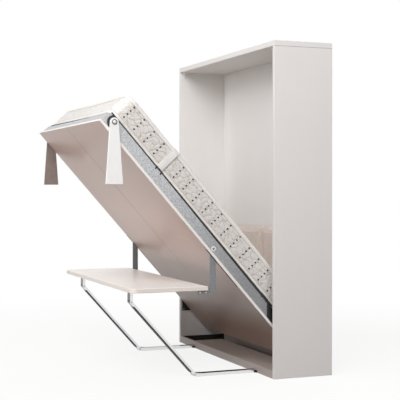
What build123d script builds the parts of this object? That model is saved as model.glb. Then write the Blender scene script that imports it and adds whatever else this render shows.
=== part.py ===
from build123d import *
import os
from math import acos, atan2, cos, degrees, hypot, radians, sin, sqrt

# Wall bed that folds into a cabinet, with a desk that stays level while the bed turns.
# Millimetres and degrees. +X right, +Y to the wall, +Z up.
# The origin is the middle of the cabinet's front edge at floor level.
# Every bed piece is drawn with the bed lying open and its pivot at the origin,
# +Y to the head and +Z to the sleeper, and is then turned up by the rest angle.

# Mattress
mattress_width = 1500
mattress_length = 1900
mattress_thickness = 178
mattress_corner = 70
mattress_swing_gap = 33.536
mattress_draw = 4
mattress_edge = 10
mattress_waist = 4
mattress_roll = 22
mattress_shoulder = 6
mattress_crown = 5
mattress_crown_inset = 220
soft_corner_steps = 4
soft_side_shares = (0.5, 0, -0.5)
strap_width = 47
strap_thickness = 2
strap_gap = 0.5
strap_from_foot = 465
spare_clip_from_pivot = 170

# Bed turn
rest_angle = 48.6
pivot_height = 352
pivot_setback = 40
pin_radius = 8
pin_shoulder_radius = 12
pin_nut_radius = 12
running_gap = 0.08
side_play = 0.4
cut_over = 1

# Bed frame
panel_thickness = 18
panel_past_rail_head = 35
panel_past_rail_foot = 8
panel_overhang = 5
leaf_gap = 2
rail_height = 70
rail_sheet = 2.5
rail_flange = 30
rail_side_room = 40
rail_head_room = 71
rail_foot_room = 0
rail_end_radius = 8
end_rail_width = 34
end_rail_inset = 2
end_rail_radius = 6
cross_bar_width = 40
cross_bar_height = 30
cross_bar_shares = (0.171, 0.518, 0.76)
tube_wall = 2
beam_width = 40
slat_width = 70
slat_thickness = 9
slat_corner = 7
slat_count = 14
holder_width = 14
holder_gap = 0.5
clip_tab_width = 10
clip_sheet = 2
clip_reach = 20
clip_bar_height = 8
clip_bar_setback = 5
pivot_plate_thickness = 5
pivot_plate_height = 63
pivot_plate_front = -20
pivot_plate_tail = 60
bush_radius = 11
bush_flange_radius = 15
bush_flange_thickness = 3

# Cabinet
cabinet_depth = 416
side_thickness = 25
top_thickness = 34
closing_gap = 40
mechanism_gap = 40
back_thickness = 12
wall_rail_thickness = 32
wall_rail_height = 90
wall_rail_lower_z = 300
wall_hole_radius = 4.5
wall_hole_inset = 230
cap_radius = 9
cap_flange_radius = 11
cap_flange_thickness = 1.5
plinth_height = 50
plinth_thickness = 18
base_thickness = 16
base_depth = 227
base_gap_left = 260
bearer_width = 18
edge_ease = 0.8
hinge_plate_width = 90
hinge_plate_height = 190
hinge_plate_thickness = 5
hinge_plate_drop = 102
hinge_plate_front = 14
hinge_plate_corner = 8
catch_width = 34
catch_depth = 26
catch_height = 14
catch_side_gap = 6
catch_setback = 12
catch_ease = 1.6
plunger_radius = 4
plunger_gap = 3

# Headboard cushions
cushion_thickness = 75
cushion_bottom = 545
cushion_top = 938
cushion_corner = 26
cushion_draw = 9
cushion_side_depth = 45
cushion_shoulder_depth = 66
cushion_shoulder_inset = 14
cushion_crown_inset = 110
cushion_side_gap = 2

# Desk linkage
arm_pivot_from_pivot = 646
arm_pivot_rise = -3
arm_thickness = 8
arm_width = 40
arm_foot_length = 78
arm_foot_height = 24
arm_corner = 18
arm_to_rail = 8
arm_tab_width = 40
arm_tab_sheet = 3
slot_clearance = 4
slot_past_arm = 8
slot_strip = 10
desk_thickness = 26
desk_depth = 500
desk_overhang = 10
desk_corner = 40
desk_ease = 1.6
desk_closed_gap = 4
link_inset = 240
link_foot_y = -431
link_foot_z = 14
tube_width = 50
tube_height = 20
link_side_gap = 0.3
cheek_thickness = 3
cheek_length = 45
link_end_gap = 1
link_pin_radius = 4
link_pin_head_radius = 6.5
link_pin_head = 3
link_plug = 30
post_height = 78
post_flange_thickness = 3
post_flange_margin = 10
tube_bracket_sheet = 2
tube_bracket_size = 16

# Bolts on the rails
bolt_radius = 6
bolt_head_radius = 16
bolt_head_height = 3.5
nut_radius = 10
nut_height = 7

# Support legs
leg_pivot_from_foot = 58
leg_pivot_rise = 23
leg_thickness = 12
leg_top_radius = 27
leg_foot_width = 108
leg_floor_gap = 0.5
leg_ease = 1.5
leg_bracket_thickness = 8.5
leg_bracket_radius = 42
leg_boss_radius = 18

# Gas struts
stud_from_rail_head = 15
stud_rise = 10
strut_angle_closed = 166
strut_to_side = 18
strut_radius = 11
strut_bore_radius = 9.6
strut_wall_end = 6
strut_rod_radius = 5
strut_eye_radius = 9
strut_eye_width = 12
strut_stud_radius = 5
strut_open_gap = 33.8
strut_neck = 20
strut_overlap = 30
strut_piston = 10
strut_slide_gap = 0.2
anchor_plate_thickness = 4
anchor_plate_width = 50
anchor_plate_height = 76

# Levels of the open bed, measured from the pivot
panel_outer_z = -pivot_setback
panel_inner_z = panel_outer_z + panel_thickness
rail_top_z = panel_inner_z + rail_height
slat_top_z = rail_top_z + slat_thickness

# Ends of the open bed, measured from the pivot.
# The mattress's head swings clear of the cabinet's back, and that sets where the bed begins.
back_rear_y = cabinet_depth - wall_rail_thickness
back_front_y = back_rear_y - back_thickness
swing_radius = back_front_y - mattress_swing_gap - pivot_setback
mattress_head_y = sqrt(swing_radius ** 2 - (slat_top_z + mattress_thickness) ** 2)
mattress_foot_y = mattress_head_y - mattress_length
strap_y = mattress_foot_y + strap_from_foot
rail_head_y = mattress_head_y + rail_head_room
rail_foot_y = mattress_foot_y - rail_foot_room
panel_head_y = rail_head_y + panel_past_rail_head
panel_foot_y = rail_foot_y - panel_past_rail_foot
leg_pivot_y = rail_foot_y + leg_pivot_from_foot

# Widths from the middle
rail_x = mattress_width / 2 + rail_side_room
web_x = rail_x - rail_sheet
panel_x = rail_x + panel_overhang
inner_x = rail_x + mechanism_gap
outer_x = inner_x + side_thickness
strut_x = inner_x - strut_to_side
arm_outer_x = rail_x - arm_to_rail
arm_inner_x = arm_outer_x - arm_thickness

# Cabinet levels and depths
top_under_z = pivot_height - panel_foot_y + closing_gap
cabinet_height = top_under_z + top_thickness
wall_hole_x = inner_x - wall_hole_inset
wall_rail_upper_z = top_under_z - wall_rail_height
wall_hole_levels = [z + wall_rail_height / 2 for z in (wall_rail_lower_z, wall_rail_upper_z)]


def turned(y, z, angle):
    """Point of the bed after a turn by an angle about the pivot, as cabinet (y, z)."""
    c, s = cos(radians(angle)), sin(radians(angle))
    return pivot_setback + y * c - z * s, pivot_height + y * s + z * c


# Linkage points at rest
arm_y, arm_z = turned(-arm_pivot_from_pivot, arm_pivot_rise, -rest_angle)
arm_closed_y = turned(-arm_pivot_from_pivot, arm_pivot_rise, -90)[0]
link_y = arm_y - pivot_setback
link_z = arm_z - pivot_height
link_length = hypot(link_y, link_z)
link_top_y = link_foot_y + link_y
link_top_z = link_foot_z + link_z
desk_under_z = link_top_z + post_height
desk_top_z = desk_under_z + desk_thickness
desk_rear_y = arm_y - arm_closed_y - desk_closed_gap
desk_front_y = desk_rear_y - desk_depth
desk_x = rail_x + desk_overhang
link_x = desk_x - link_inset
leg_y, leg_z = turned(leg_pivot_y, leg_pivot_rise, -rest_angle)
leg_length = pivot_height + leg_pivot_rise - leg_floor_gap

# Strut points lie on one circle about the pivot, so the strut turns at half the bed's rate
stud_past_pivot = rail_head_y - stud_from_rail_head
stud_reach = hypot(stud_past_pivot, stud_rise)
stud_y, stud_z = turned(stud_past_pivot, stud_rise, -rest_angle)
anchor_angle = degrees(atan2(stud_rise, stud_past_pivot)) - 90 + strut_angle_closed
anchor_y = pivot_setback + stud_reach * cos(radians(anchor_angle))
anchor_z = pivot_height + stud_reach * sin(radians(anchor_angle))
strut_rest_length = hypot(stud_y - anchor_y, stud_z - anchor_z)
strut_closed_length = 2 * stud_reach * sin(radians(strut_angle_closed / 2))
strut_open_length = 2 * stud_reach * sin(radians((strut_angle_closed - 90) / 2))
strut_cylinder_end = strut_open_length - strut_open_gap
strut_rod_length = strut_closed_length - strut_cylinder_end + strut_overlap
strut_turn = degrees(atan2(stud_z - anchor_z, stud_y - anchor_y))

bed_place = Pos(0, pivot_setback, pivot_height) * Rot(-rest_angle, 0, 0)
seated = (Align.CENTER, Align.CENTER, Align.MIN)
nodes = {}


def block(x0, x1, y0, y1, z0, z1):
    """Box between two limits on each axis."""
    middle = Pos((x0 + x1) / 2, (y0 + y1) / 2, (z0 + z1) / 2)
    return middle * Box(abs(x1 - x0), abs(y1 - y0), abs(z1 - z0))


def board(*limits):
    """Box with its edges eased, as a sawn and edged board."""
    solid = block(*limits)
    return chamfer(solid.edges(), edge_ease)


def bar_x(y, z, radius, x0, x1):
    """Round bar along X."""
    return Pos((x0 + x1) / 2, y, z) * Rot(0, 90, 0) * Cylinder(radius, abs(x1 - x0))


def bar_y(radius, y0, y1):
    """Round bar along Y."""
    return Pos(0, (y0 + y1) / 2, 0) * Rot(90, 0, 0) * Cylinder(radius, y1 - y0)


def plate_x(outline, x0, x1):
    """Plate with an outline in Y and Z and a thickness along X."""
    return extrude(Plane.YZ.offset(min(x0, x1)) * outline, amount=abs(x1 - x0))


def nut_x(y, z, radius, x0, x1):
    """Hexagonal nut or collar along X."""
    return plate_x(Pos(y, z) * RegularPolygon(radius, 6), x0, x1)


def hull(first, second):
    """Outline drawn tight round two outlines."""
    return make_hull((first + second).edges())


def add(name, shape):
    """Keep a finished piece under its node name."""
    nodes[name] = shape


def add_pair(name, right):
    """Keep a right-hand piece and its mirror image as two nodes."""
    add(name + "_right", right)
    add(name + "_left", mirror(right, about=Plane.YZ))


def add_both(name, *right):
    """Keep right-hand pieces and their mirror images as one node of separate solids."""
    left = [mirror(piece, about=Plane.YZ) for piece in right]
    add(name, Compound(children=[*right, *left]))


def soft_outline(width, height, corner, draw):
    """Round-cornered outline whose sides draw in between the corners, in short straight runs."""
    w, h = width / 2 - corner, height / 2 - corner
    points = []
    for quarter, (sx, sy) in enumerate(((1, 1), (-1, 1), (-1, -1), (1, -1))):
        for step in range(soft_corner_steps + 1):
            angle = radians(90 * (quarter + step / soft_corner_steps))
            points.append((sx * w + corner * cos(angle), sy * h + corner * sin(angle)))
        for share in soft_side_shares:
            reach = corner - draw * (1 - share ** 2)
            if quarter % 2 == 0:
                points.append((sx * w * share, sy * (h + reach)))
            else:
                points.append((sx * (w + reach), sy * h * share))
    return make_face(Polyline(*points, close=True))


def soft_form(width, height, corner, draw, layers):
    """Padded form along +Z: one outline for each (level, inset) pair, lofted."""
    sections = []
    for level, inset in layers:
        outline = soft_outline(width - 2 * inset, height - 2 * inset, corner, draw)
        sections.append(Pos(0, 0, level) * outline)
    return loft(sections, ruled=True)


def make_cabinet():
    """Boards of the cabinet, wall rails and the caps over the wall screws."""
    add_pair("side_panel", board(inner_x, outer_x, 0, cabinet_depth, 0, top_under_z))
    add("top_panel", board(-outer_x, outer_x, 0, cabinet_depth, top_under_z, cabinet_height))
    add("plinth", board(-inner_x, inner_x, 0, plinth_thickness, 0, plinth_height))

    base_left_x = base_gap_left - inner_x
    base_rear_y = plinth_thickness + base_depth
    base_under_z = plinth_height - base_thickness
    base_depths = (plinth_thickness, base_rear_y)
    add("base_board", board(base_left_x, inner_x, *base_depths, base_under_z, plinth_height))
    bearers = []
    for x in (base_left_x, inner_x - bearer_width):
        bearers.append(block(x, x + bearer_width, *base_depths, 0, base_under_z))
    add("base_bearers", Compound(children=bearers))

    hole_places = [Pos(x, back_front_y, z) * Rot(90, 0, 0)
                   for x in (-wall_hole_x, wall_hole_x) for z in wall_hole_levels]
    back = block(-inner_x, inner_x, back_front_y, back_rear_y, 0, top_under_z)
    caps = []
    for place in hole_places:
        back -= place * Cylinder(cap_radius, 2 * (back_thickness + cut_over))
        caps.append(place * Cylinder(cap_flange_radius, cap_flange_thickness, align=seated))
    add("back_panel", back)
    add("wall_screw_caps", Compound(children=caps))

    for name, z in (("wall_rail_lower", wall_rail_lower_z), ("wall_rail_upper", wall_rail_upper_z)):
        rail = block(-inner_x, inner_x, back_rear_y, cabinet_depth, z, z + wall_rail_height)
        for place in hole_places:
            rail -= place * Cylinder(wall_hole_radius, 2 * cabinet_depth)
        add(name, rail)


def make_catches():
    """Catches under the top panel with the plunger that meets the closed front panel."""
    x1 = inner_x - catch_side_gap
    x0 = x1 - catch_width
    y0 = catch_setback
    y1 = y0 + catch_depth
    low_z = top_under_z - catch_height
    body = block(x0, x1, y0, y1, low_z, top_under_z)
    body = chamfer(body.faces().sort_by(Axis.Z)[0].edges(), catch_ease)
    tip_z = pivot_height - panel_foot_y + plunger_gap
    plunger = Pos((x0 + x1) / 2, (y0 + y1) / 2, tip_z)
    plunger *= Cylinder(plunger_radius, low_z - tip_z, align=seated)
    add_both("catches", body + plunger)


def make_headboard():
    """Two padded headboard cushions on the back panel, meeting in the middle."""
    width = inner_x - 2 * cushion_side_gap
    height = cushion_top - cushion_bottom
    layers = [(0, 0), (cushion_side_depth, 0), (cushion_shoulder_depth, cushion_shoulder_inset)]
    layers.append((cushion_thickness, cushion_crown_inset))
    form = soft_form(width, height, cushion_corner, cushion_draw, layers)
    place = Pos(cushion_side_gap + width / 2, back_front_y, (cushion_top + cushion_bottom) / 2)
    add_pair("headboard_cushion", place * Rot(90, 0, 0) * form)


def make_hinges():
    """Hinge plates on the cabinet sides with stepped pivot pins, and the bed's plates and bushes."""
    plate_x0 = inner_x - hinge_plate_thickness
    low_z = pivot_height - hinge_plate_drop
    outline = Pos(hinge_plate_front + hinge_plate_width / 2, low_z + hinge_plate_height / 2)
    outline *= RectangleRounded(hinge_plate_width, hinge_plate_height, hinge_plate_corner)
    add_pair("hinge_plate", plate_x(outline, plate_x0, inner_x))

    plate_face_x = rail_x + pivot_plate_thickness
    flange_x = plate_face_x + bush_flange_thickness
    pin_end_x = web_x - rail_sheet - nut_height
    pivot = (pivot_setback, pivot_height)
    shoulder = bar_x(*pivot, pin_shoulder_radius, flange_x + side_play, plate_x0)
    shank = bar_x(*pivot, pin_radius, pin_end_x, flange_x + side_play)
    nut = nut_x(*pivot, pin_nut_radius, pin_end_x, pin_end_x + nut_height - side_play)
    add_both("pivot_pins", shoulder + shank + nut)

    top_z = panel_inner_z + pivot_plate_height
    c, s = cos(radians(rest_angle)), sin(radians(rest_angle))
    corners = [(pivot_plate_tail, panel_inner_z), (pivot_plate_tail, top_z)]
    for z in (top_z, panel_inner_z):
        corners.append(((pivot_plate_front - pivot_setback - z * s) / c, z))
    plate = plate_x(make_face(Polyline(*corners, close=True)), rail_x, plate_face_x)
    plate -= bar_x(0, 0, bush_radius, rail_x - cut_over, plate_face_x + cut_over)
    add_pair("pivot_plate", bed_place * plate)

    bush = bar_x(0, 0, bush_radius, web_x - rail_sheet, plate_face_x)
    bush += bar_x(0, 0, bush_flange_radius, plate_face_x, flange_x)
    bush -= bar_x(0, 0, pin_radius + running_gap, pin_end_x, flange_x + cut_over)
    add_both("pivot_bushes", bed_place * bush)


def make_panel():
    """Front panel in two leaves, each with the slot that its desk arm swings in."""
    leaf = board(leaf_gap / 2, panel_x, panel_foot_y, panel_head_y, panel_outer_z, panel_inner_z)
    add_pair("front_panel", bed_place * (leaf - arm_slot()))


def arm_slot():
    """Space cut through the panel and the rail's lower flange for a desk arm."""
    reach = arm_z - desk_under_z + arm_foot_height + slot_past_arm
    y0 = -arm_pivot_from_pivot - arm_width / 2 - slot_past_arm
    y1 = -arm_pivot_from_pivot + reach + slot_past_arm
    x0 = arm_inner_x - slot_clearance
    x1 = panel_x - slot_strip
    return block(x0, x1, y0, y1, panel_outer_z - cut_over, panel_inner_z + rail_sheet + cut_over)


def make_rails():
    """Steel frame: folded side rails, end rails, cross bars and the centre beam."""
    low_z = panel_inner_z + rail_sheet
    high_z = rail_top_z - rail_sheet
    inner_edge_x = rail_x - rail_flange
    rail = block(inner_edge_x, rail_x, rail_foot_y, rail_head_y, panel_inner_z, rail_top_z)
    foot_corner = rail.edges().filter_by(Axis.X).group_by(Axis.Y)[0].sort_by(Axis.Z)[-1]
    rail = fillet(foot_corner, rail_end_radius)
    ends = (rail_foot_y - cut_over, rail_head_y + cut_over)
    rail -= block(inner_edge_x - cut_over, web_x, *ends, low_z, high_z)
    rail -= arm_slot()
    holes = [(0, 0, bush_radius), (-arm_pivot_from_pivot, arm_pivot_rise, bolt_radius)]
    holes += [(leg_pivot_y, leg_pivot_rise, bolt_radius), (stud_past_pivot, stud_rise, strut_stud_radius)]
    for y, z, radius in holes:
        rail -= bar_x(y, z, radius, web_x - cut_over, rail_x + cut_over)
    add_pair("side_rail", bed_place * rail)

    head_y = rail_head_y - end_rail_inset - end_rail_width
    foot_y = rail_foot_y + end_rail_inset
    for name, y in (("head_rail", head_y), ("foot_rail", foot_y)):
        bar = hollow_bar(y, y + end_rail_width, low_z, high_z)
        sides = bar.edges().filter_by(Axis.X).group_by(Axis.Y)
        add(name, bed_place * fillet(sides[0] + sides[-1], end_rail_radius))

    bars = []
    for share in cross_bar_shares:
        y0 = mattress_head_y - share * mattress_length - cross_bar_width / 2
        bars.append(bed_place * hollow_bar(y0, y0 + cross_bar_width, low_z, low_z + cross_bar_height))
    add("cross_bars", Compound(children=bars))

    beam_y0 = foot_y + end_rail_width
    beam_z0 = low_z + cross_bar_height
    beam = block(-beam_width / 2, beam_width / 2, beam_y0, head_y, beam_z0, rail_top_z)
    inside = beam_width / 2 - tube_wall
    ends = (beam_y0 - cut_over, head_y + cut_over)
    beam -= block(-inside, inside, *ends, beam_z0 + tube_wall, rail_top_z - tube_wall)
    add("centre_beam", bed_place * beam)


def hollow_bar(y0, y1, z0, z1):
    """Hollow bar from one side rail's web to the other's."""
    bar = block(-web_x, web_x, y0, y1, z0, z1)
    end_x = web_x + cut_over
    w = tube_wall
    return bar - block(-end_x, end_x, y0 + w, y1 - w, z0 + w, z1 - w)


def make_slats():
    """Slats across the rails between two holder strips."""
    holder_x = rail_x - holder_width
    holder_y = rail_foot_y + rail_end_radius
    holder = block(holder_x, rail_x, holder_y, rail_head_y, rail_top_z, slat_top_z)
    add_both("slat_holders", bed_place * holder)
    half = holder_x - holder_gap
    first_y = mattress_foot_y + slat_width
    pitch = (mattress_head_y - slat_width - first_y) / (slat_count - 1)
    slats = []
    for index in range(slat_count):
        y = first_y + index * pitch
        slat = block(-half, half, y - slat_width / 2, y + slat_width / 2, rail_top_z, slat_top_z)
        slats.append(bed_place * chamfer(slat.edges().filter_by(Axis.Z), slat_corner))
    add("bed_slats", Compound(children=slats))


def make_mattress():
    """Mattress with a crown and a border drawn in between its rolled edges, strap and clips."""
    t = mattress_thickness
    shoulder_z = t - mattress_crown
    upper = [(t - mattress_roll, 0), (shoulder_z - mattress_shoulder, mattress_shoulder)]
    upper += [(shoulder_z, mattress_roll), (t, mattress_crown_inset)]
    layers = [(0, mattress_edge), (mattress_edge, 0), (t / 2, mattress_waist), *upper]
    form = soft_form(mattress_width, mattress_length, mattress_corner, mattress_draw, layers)
    middle_y = (mattress_head_y + mattress_foot_y) / 2
    add("mattress", bed_place * Pos(0, middle_y, slat_top_z) * form)

    bar_x0 = rail_x - holder_width - holder_gap - clip_sheet - clip_bar_setback
    side_x = mattress_width / 2 + strap_gap
    inner = [(bar_x0 - strap_thickness, slat_top_z)]
    inner += [(side_x - inset, slat_top_z + level + strap_gap) for level, inset in upper]
    shifts = [(1, 0), (1, 0), (1, 1), (0, 1), (0, 1)]
    outer = [(x + strap_thickness * dx, z + strap_thickness * dz)
             for (x, z), (dx, dz) in zip(inner, shifts)]
    inner += [(-x, z) for x, z in reversed(inner)]
    outer += [(-x, z) for x, z in reversed(outer)]
    profile = make_face(Polyline(*inner, *reversed(outer), close=True))
    strap = extrude(Plane.XZ.offset(-strap_y) * profile, amount=strap_width / 2, both=True)
    add("mattress_strap", bed_place * strap)

    clips = []
    for y in (strap_y, -spare_clip_from_pivot):
        clips.append(bed_place * strap_clip(bar_x0, y))
    add_both("strap_clips", *clips)


def strap_clip(bar_x0, y):
    """Bent clip hooked over the holder strip: a bar for the strap between two outer tabs."""
    half = strap_width / 2 + clip_tab_width / 2
    top_z = slat_top_z + clip_sheet
    bar_end_x = bar_x0 + clip_sheet
    hook_x = rail_x + clip_sheet
    clip = block(bar_x0, bar_end_x, y - half, y + half, slat_top_z, slat_top_z + clip_bar_height)
    for side in (-1, 1):
        middle = y + side * strap_width / 2
        tab = (middle - clip_tab_width / 2, middle + clip_tab_width / 2)
        clip += block(bar_x0, hook_x, *tab, slat_top_z, top_z)
        clip += block(rail_x, hook_x, *tab, slat_top_z - clip_reach, top_z)
    return clip


def make_desk():
    """Desk top with its two cranked arms and the posts that carry it on the links."""
    top = block(-desk_x, desk_x, desk_front_y, desk_rear_y, desk_under_z, desk_top_z)
    front_corners = top.edges().filter_by(Axis.Z).group_by(Axis.Y)[0]
    top = fillet(front_corners, desk_corner)
    rims = top.faces().sort_by(Axis.Z)
    top = chamfer(rims[0].edges() + rims[-1].edges(), desk_ease)
    add("desk_top", top)

    half = arm_width / 2
    heel_z = desk_under_z - arm_foot_height
    toe_y = arm_y - half - arm_foot_length
    upright = Pos(arm_y, (arm_z + heel_z) / 2) * Rectangle(arm_width, arm_z - heel_z)
    foot = Pos((toe_y + arm_y) / 2, heel_z + arm_foot_height / 2)
    foot *= Rectangle(arm_y - toe_y, arm_foot_height)
    outline = upright + foot
    heel = outline.vertices().group_by(Axis.Y)[0].sort_by(Axis.X)[-1]
    outline = fillet(heel, arm_corner) + Pos(arm_y, arm_z) * Circle(half)
    arm = plate_x(outline, arm_inner_x, arm_outer_x)
    hole = bolt_radius + running_gap
    arm -= bar_x(arm_y, arm_z, hole, arm_inner_x - cut_over, arm_outer_x + cut_over)
    tab_x = arm_inner_x - arm_tab_width
    tab_z = desk_under_z - arm_tab_sheet
    arm += block(tab_x, arm_inner_x, toe_y, desk_rear_y, tab_z, desk_under_z)
    add_pair("desk_arm", arm)

    post = clevis_tube((link_top_y, link_top_z), 90, post_height)
    flange = Pos(link_x, link_top_y, desk_under_z - post_flange_thickness / 2)
    margin = 2 * post_flange_margin
    flange *= Box(tube_width + margin, tube_height + margin, post_flange_thickness)
    add_pair("desk_post", post + flange)


def clevis_tube(pivot, angle, length):
    """Flat tube that stops short of a pivot, with two cheeks that reach round it."""
    half_x = tube_width / 2
    radius = tube_height / 2
    start = radius + link_end_gap
    tube = block(-half_x, half_x, start, length, -radius, radius)
    w = tube_wall
    ends = (start - cut_over, length + cut_over)
    tube -= block(w - half_x, half_x - w, *ends, w - radius, radius - w)
    cheek = Circle(radius) + Pos(cheek_length / 2, 0) * Rectangle(cheek_length, tube_height)
    for x in (half_x, -half_x - cheek_thickness):
        tube += plate_x(cheek, x, x + cheek_thickness)
    reach = half_x + cheek_thickness + cut_over
    tube -= bar_x(0, 0, link_pin_radius, -reach, reach)
    return Pos(link_x, *pivot) * Rot(angle, 0, 0) * tube


def make_links():
    """Floor tubes, the legs that swing parallel to the bed, and their pins."""
    half_x = tube_width / 2
    radius = tube_height / 2
    w = tube_wall
    front_y = link_foot_y + radius + link_end_gap
    tube = block(link_x - half_x, link_x + half_x, front_y, 0, 0, tube_height)
    bore = (link_x - half_x + w, link_x + half_x - w)
    tube -= block(*bore, front_y - cut_over, -w, w, tube_height - w)
    eye = Pos(link_foot_y, link_foot_z) * Circle(radius)
    root = Pos(front_y + cheek_length / 2, radius) * Rectangle(cheek_length, tube_height)
    for x in (link_x + half_x, link_x - half_x - cheek_thickness):
        tube += plate_x(hull(eye, root), x, x + cheek_thickness)
    reach = half_x + cheek_thickness
    hole_ends = (link_x - reach - cut_over, link_x + reach + cut_over)
    tube -= bar_x(link_foot_y, link_foot_z, link_pin_radius, *hole_ends)
    add_pair("floor_tube", tube)

    b = tube_bracket_sheet
    size = tube_bracket_size
    brackets = []
    for side in (-1, 1):
        x = link_x + side * half_x
        cheek = block(x, x + side * b, -size, 0, 0, size)
        brackets.append(cheek + block(x, x + side * size, -b, 0, 0, size))
    add_both("tube_brackets", *brackets)

    leg_half = half_x - link_side_gap
    outline = Pos(link_length / 2, 0) * SlotOverall(link_length + tube_height, tube_height)
    leg = plate_x(outline, -leg_half, leg_half)
    core = (link_plug, link_length - link_plug, w - radius, radius - w)
    leg -= block(w - leg_half, leg_half - w, *core)
    for y in (0, link_length):
        leg -= bar_x(y, 0, link_pin_radius + running_gap, -half_x, half_x)
    turn = degrees(atan2(link_z, link_y))
    add_pair("desk_leg", Pos(link_x, link_foot_y, link_foot_z) * Rot(turn, 0, 0) * leg)

    lower, upper = (link_foot_y, link_foot_z), (link_top_y, link_top_z)
    for name, place in (("link_pins_lower", lower), ("link_pins_upper", upper)):
        x0, x1 = link_x - reach, link_x + reach
        pin = bar_x(*place, link_pin_radius, x0, x1)
        pin += nut_x(*place, link_pin_head_radius, x1, x1 + link_pin_head)
        pin += nut_x(*place, link_pin_head_radius, x0 - link_pin_head, x0)
        add_both(name, pin)


def make_arm_bolts():
    """Bolts that hang the desk arms inside the side rails."""
    place = (-arm_pivot_from_pivot, arm_pivot_rise)
    end_x = arm_inner_x - nut_height
    bolt = bar_x(*place, bolt_radius, end_x, rail_x)
    bolt += bar_x(*place, bolt_head_radius, rail_x, rail_x + bolt_head_height)
    bolt += nut_x(*place, nut_radius, arm_outer_x + side_play, web_x)
    bolt += nut_x(*place, nut_radius, end_x, arm_inner_x - side_play)
    add_both("arm_bolts", bed_place * bolt)


def tapered_outline():
    """Leg outline round its pivot: an arc over the top and straight sides that touch it."""
    half = leg_foot_width / 2
    side = atan2(-leg_length, half) + acos(leg_top_radius / hypot(half, leg_length))
    y, z = leg_top_radius * cos(side), leg_top_radius * sin(side)
    over = ThreePointArc((y, z), (0, leg_top_radius), (-y, z))
    sides = Polyline((-y, z), (-half, -leg_length), (half, -leg_length), (y, z))
    return make_face([over, *sides.edges()])


def make_support_legs():
    """Tapered legs that hang from the rails' foot end, with their bolts and half-round brackets."""
    inner = rail_x + leg_bracket_thickness + side_play
    outer = inner + leg_thickness
    leg = plate_x(Pos(leg_y, leg_z) * tapered_outline(), inner, outer)
    leg = chamfer(leg.faces().sort_by(Axis.X)[-1].edges(), leg_ease)
    leg -= bar_x(leg_y, leg_z, bolt_radius + running_gap, inner - cut_over, outer + cut_over)
    add_pair("support_leg", leg)

    y, z = leg_pivot_y, leg_pivot_rise
    size = 2 * leg_bracket_radius
    disc = Pos(y, z) * Circle(leg_bracket_radius)
    foot_half = Pos(y - leg_bracket_radius, z) * Rectangle(size, size)
    outline = (disc & foot_half) + Pos(y, z) * Circle(leg_boss_radius)
    outline &= Pos(y, (panel_inner_z + rail_top_z) / 2) * Rectangle(2 * size, rail_height)
    bracket = plate_x(outline, rail_x, rail_x + leg_bracket_thickness)
    bracket -= bar_x(y, z, bolt_radius, rail_x - cut_over, outer)
    add_both("leg_brackets", bed_place * bracket)

    end_x = web_x - nut_height
    head_x = outer + side_play
    bolt = bar_x(y, z, bolt_radius, end_x, head_x)
    bolt += nut_x(y, z, nut_radius, end_x, web_x)
    bolt += bar_x(y, z, bolt_head_radius, head_x, head_x + bolt_head_height)
    add_both("leg_bolts", bed_place * bolt)


def make_struts():
    """Gas struts beside the rails, with the anchors on the cabinet and the studs on the bed."""
    plate_face_x = inner_x - anchor_plate_thickness
    inner_face = strut_x - strut_eye_width / 2 - side_play
    outer_face = strut_x + strut_eye_width / 2 + side_play
    place = (anchor_y, anchor_z)
    outline = Rectangle(anchor_plate_width, anchor_plate_height)
    anchor = plate_x(Pos(*place) * outline, plate_face_x, inner_x)
    anchor += bar_x(*place, strut_stud_radius, inner_face, plate_face_x)
    anchor += nut_x(*place, strut_eye_radius, outer_face, plate_face_x)
    anchor += nut_x(*place, strut_eye_radius, inner_face - link_pin_head, inner_face)
    add_both("strut_anchors", anchor)

    place = (stud_past_pivot, stud_rise)
    stud = bar_x(*place, strut_stud_radius, web_x, outer_face)
    stud += nut_x(*place, strut_eye_radius, rail_x, inner_face)
    stud += nut_x(*place, strut_eye_radius, outer_face, outer_face + link_pin_head)
    add_both("strut_studs", bed_place * stud)

    place = Pos(strut_x, anchor_y, anchor_z) * Rot(strut_turn, 0, 0)
    half_eye = strut_eye_width / 2
    hole = strut_stud_radius + running_gap
    bore_end = strut_cylinder_end - strut_wall_end
    cylinder = bar_y(strut_radius, strut_neck, strut_cylinder_end)
    cylinder -= bar_y(strut_bore_radius, strut_neck + strut_wall_end, bore_end)
    rod_hole = strut_rod_radius + strut_slide_gap
    cylinder -= bar_y(rod_hole, bore_end - strut_wall_end, strut_cylinder_end + cut_over)
    cylinder += block(-half_eye, half_eye, 0, strut_neck, -half_eye, half_eye)
    cylinder += bar_x(0, 0, strut_eye_radius, -half_eye, half_eye)
    cylinder -= bar_x(0, 0, hole, -strut_eye_width, strut_eye_width)
    add_pair("strut_cylinder", place * cylinder)

    end = strut_rest_length
    start = end - strut_rod_length
    rod = bar_y(strut_rod_radius, start, end)
    rod += bar_y(strut_bore_radius - strut_slide_gap, start, start + strut_piston)
    rod += bar_x(end, 0, strut_eye_radius, -half_eye, half_eye)
    rod -= bar_x(end, 0, hole, -strut_eye_width, strut_eye_width)
    add_pair("strut_rod", place * rod)


make_cabinet()
make_catches()
make_headboard()
make_hinges()
make_panel()
make_rails()
make_slats()
make_mattress()
make_desk()
make_links()
make_arm_bolts()
make_support_legs()
make_struts()

os.makedirs("parts", exist_ok=True)
for name, shape in nodes.items():
    export_step(shape, f"parts/{name}.step")
print(len(nodes), "nodes, cabinet", 2 * outer_x, cabinet_depth, cabinet_height)
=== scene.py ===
"""Dresses the folding wall bed: a finish for every solid, and the soft and small pieces."""
import logging
import math
from dataclasses import dataclass, replace
from enum import Enum
from typing import Any, Callable, ClassVar, Iterable, Optional, Sequence

import bpy
import numpy as np
from mathutils import Matrix, Vector


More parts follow.
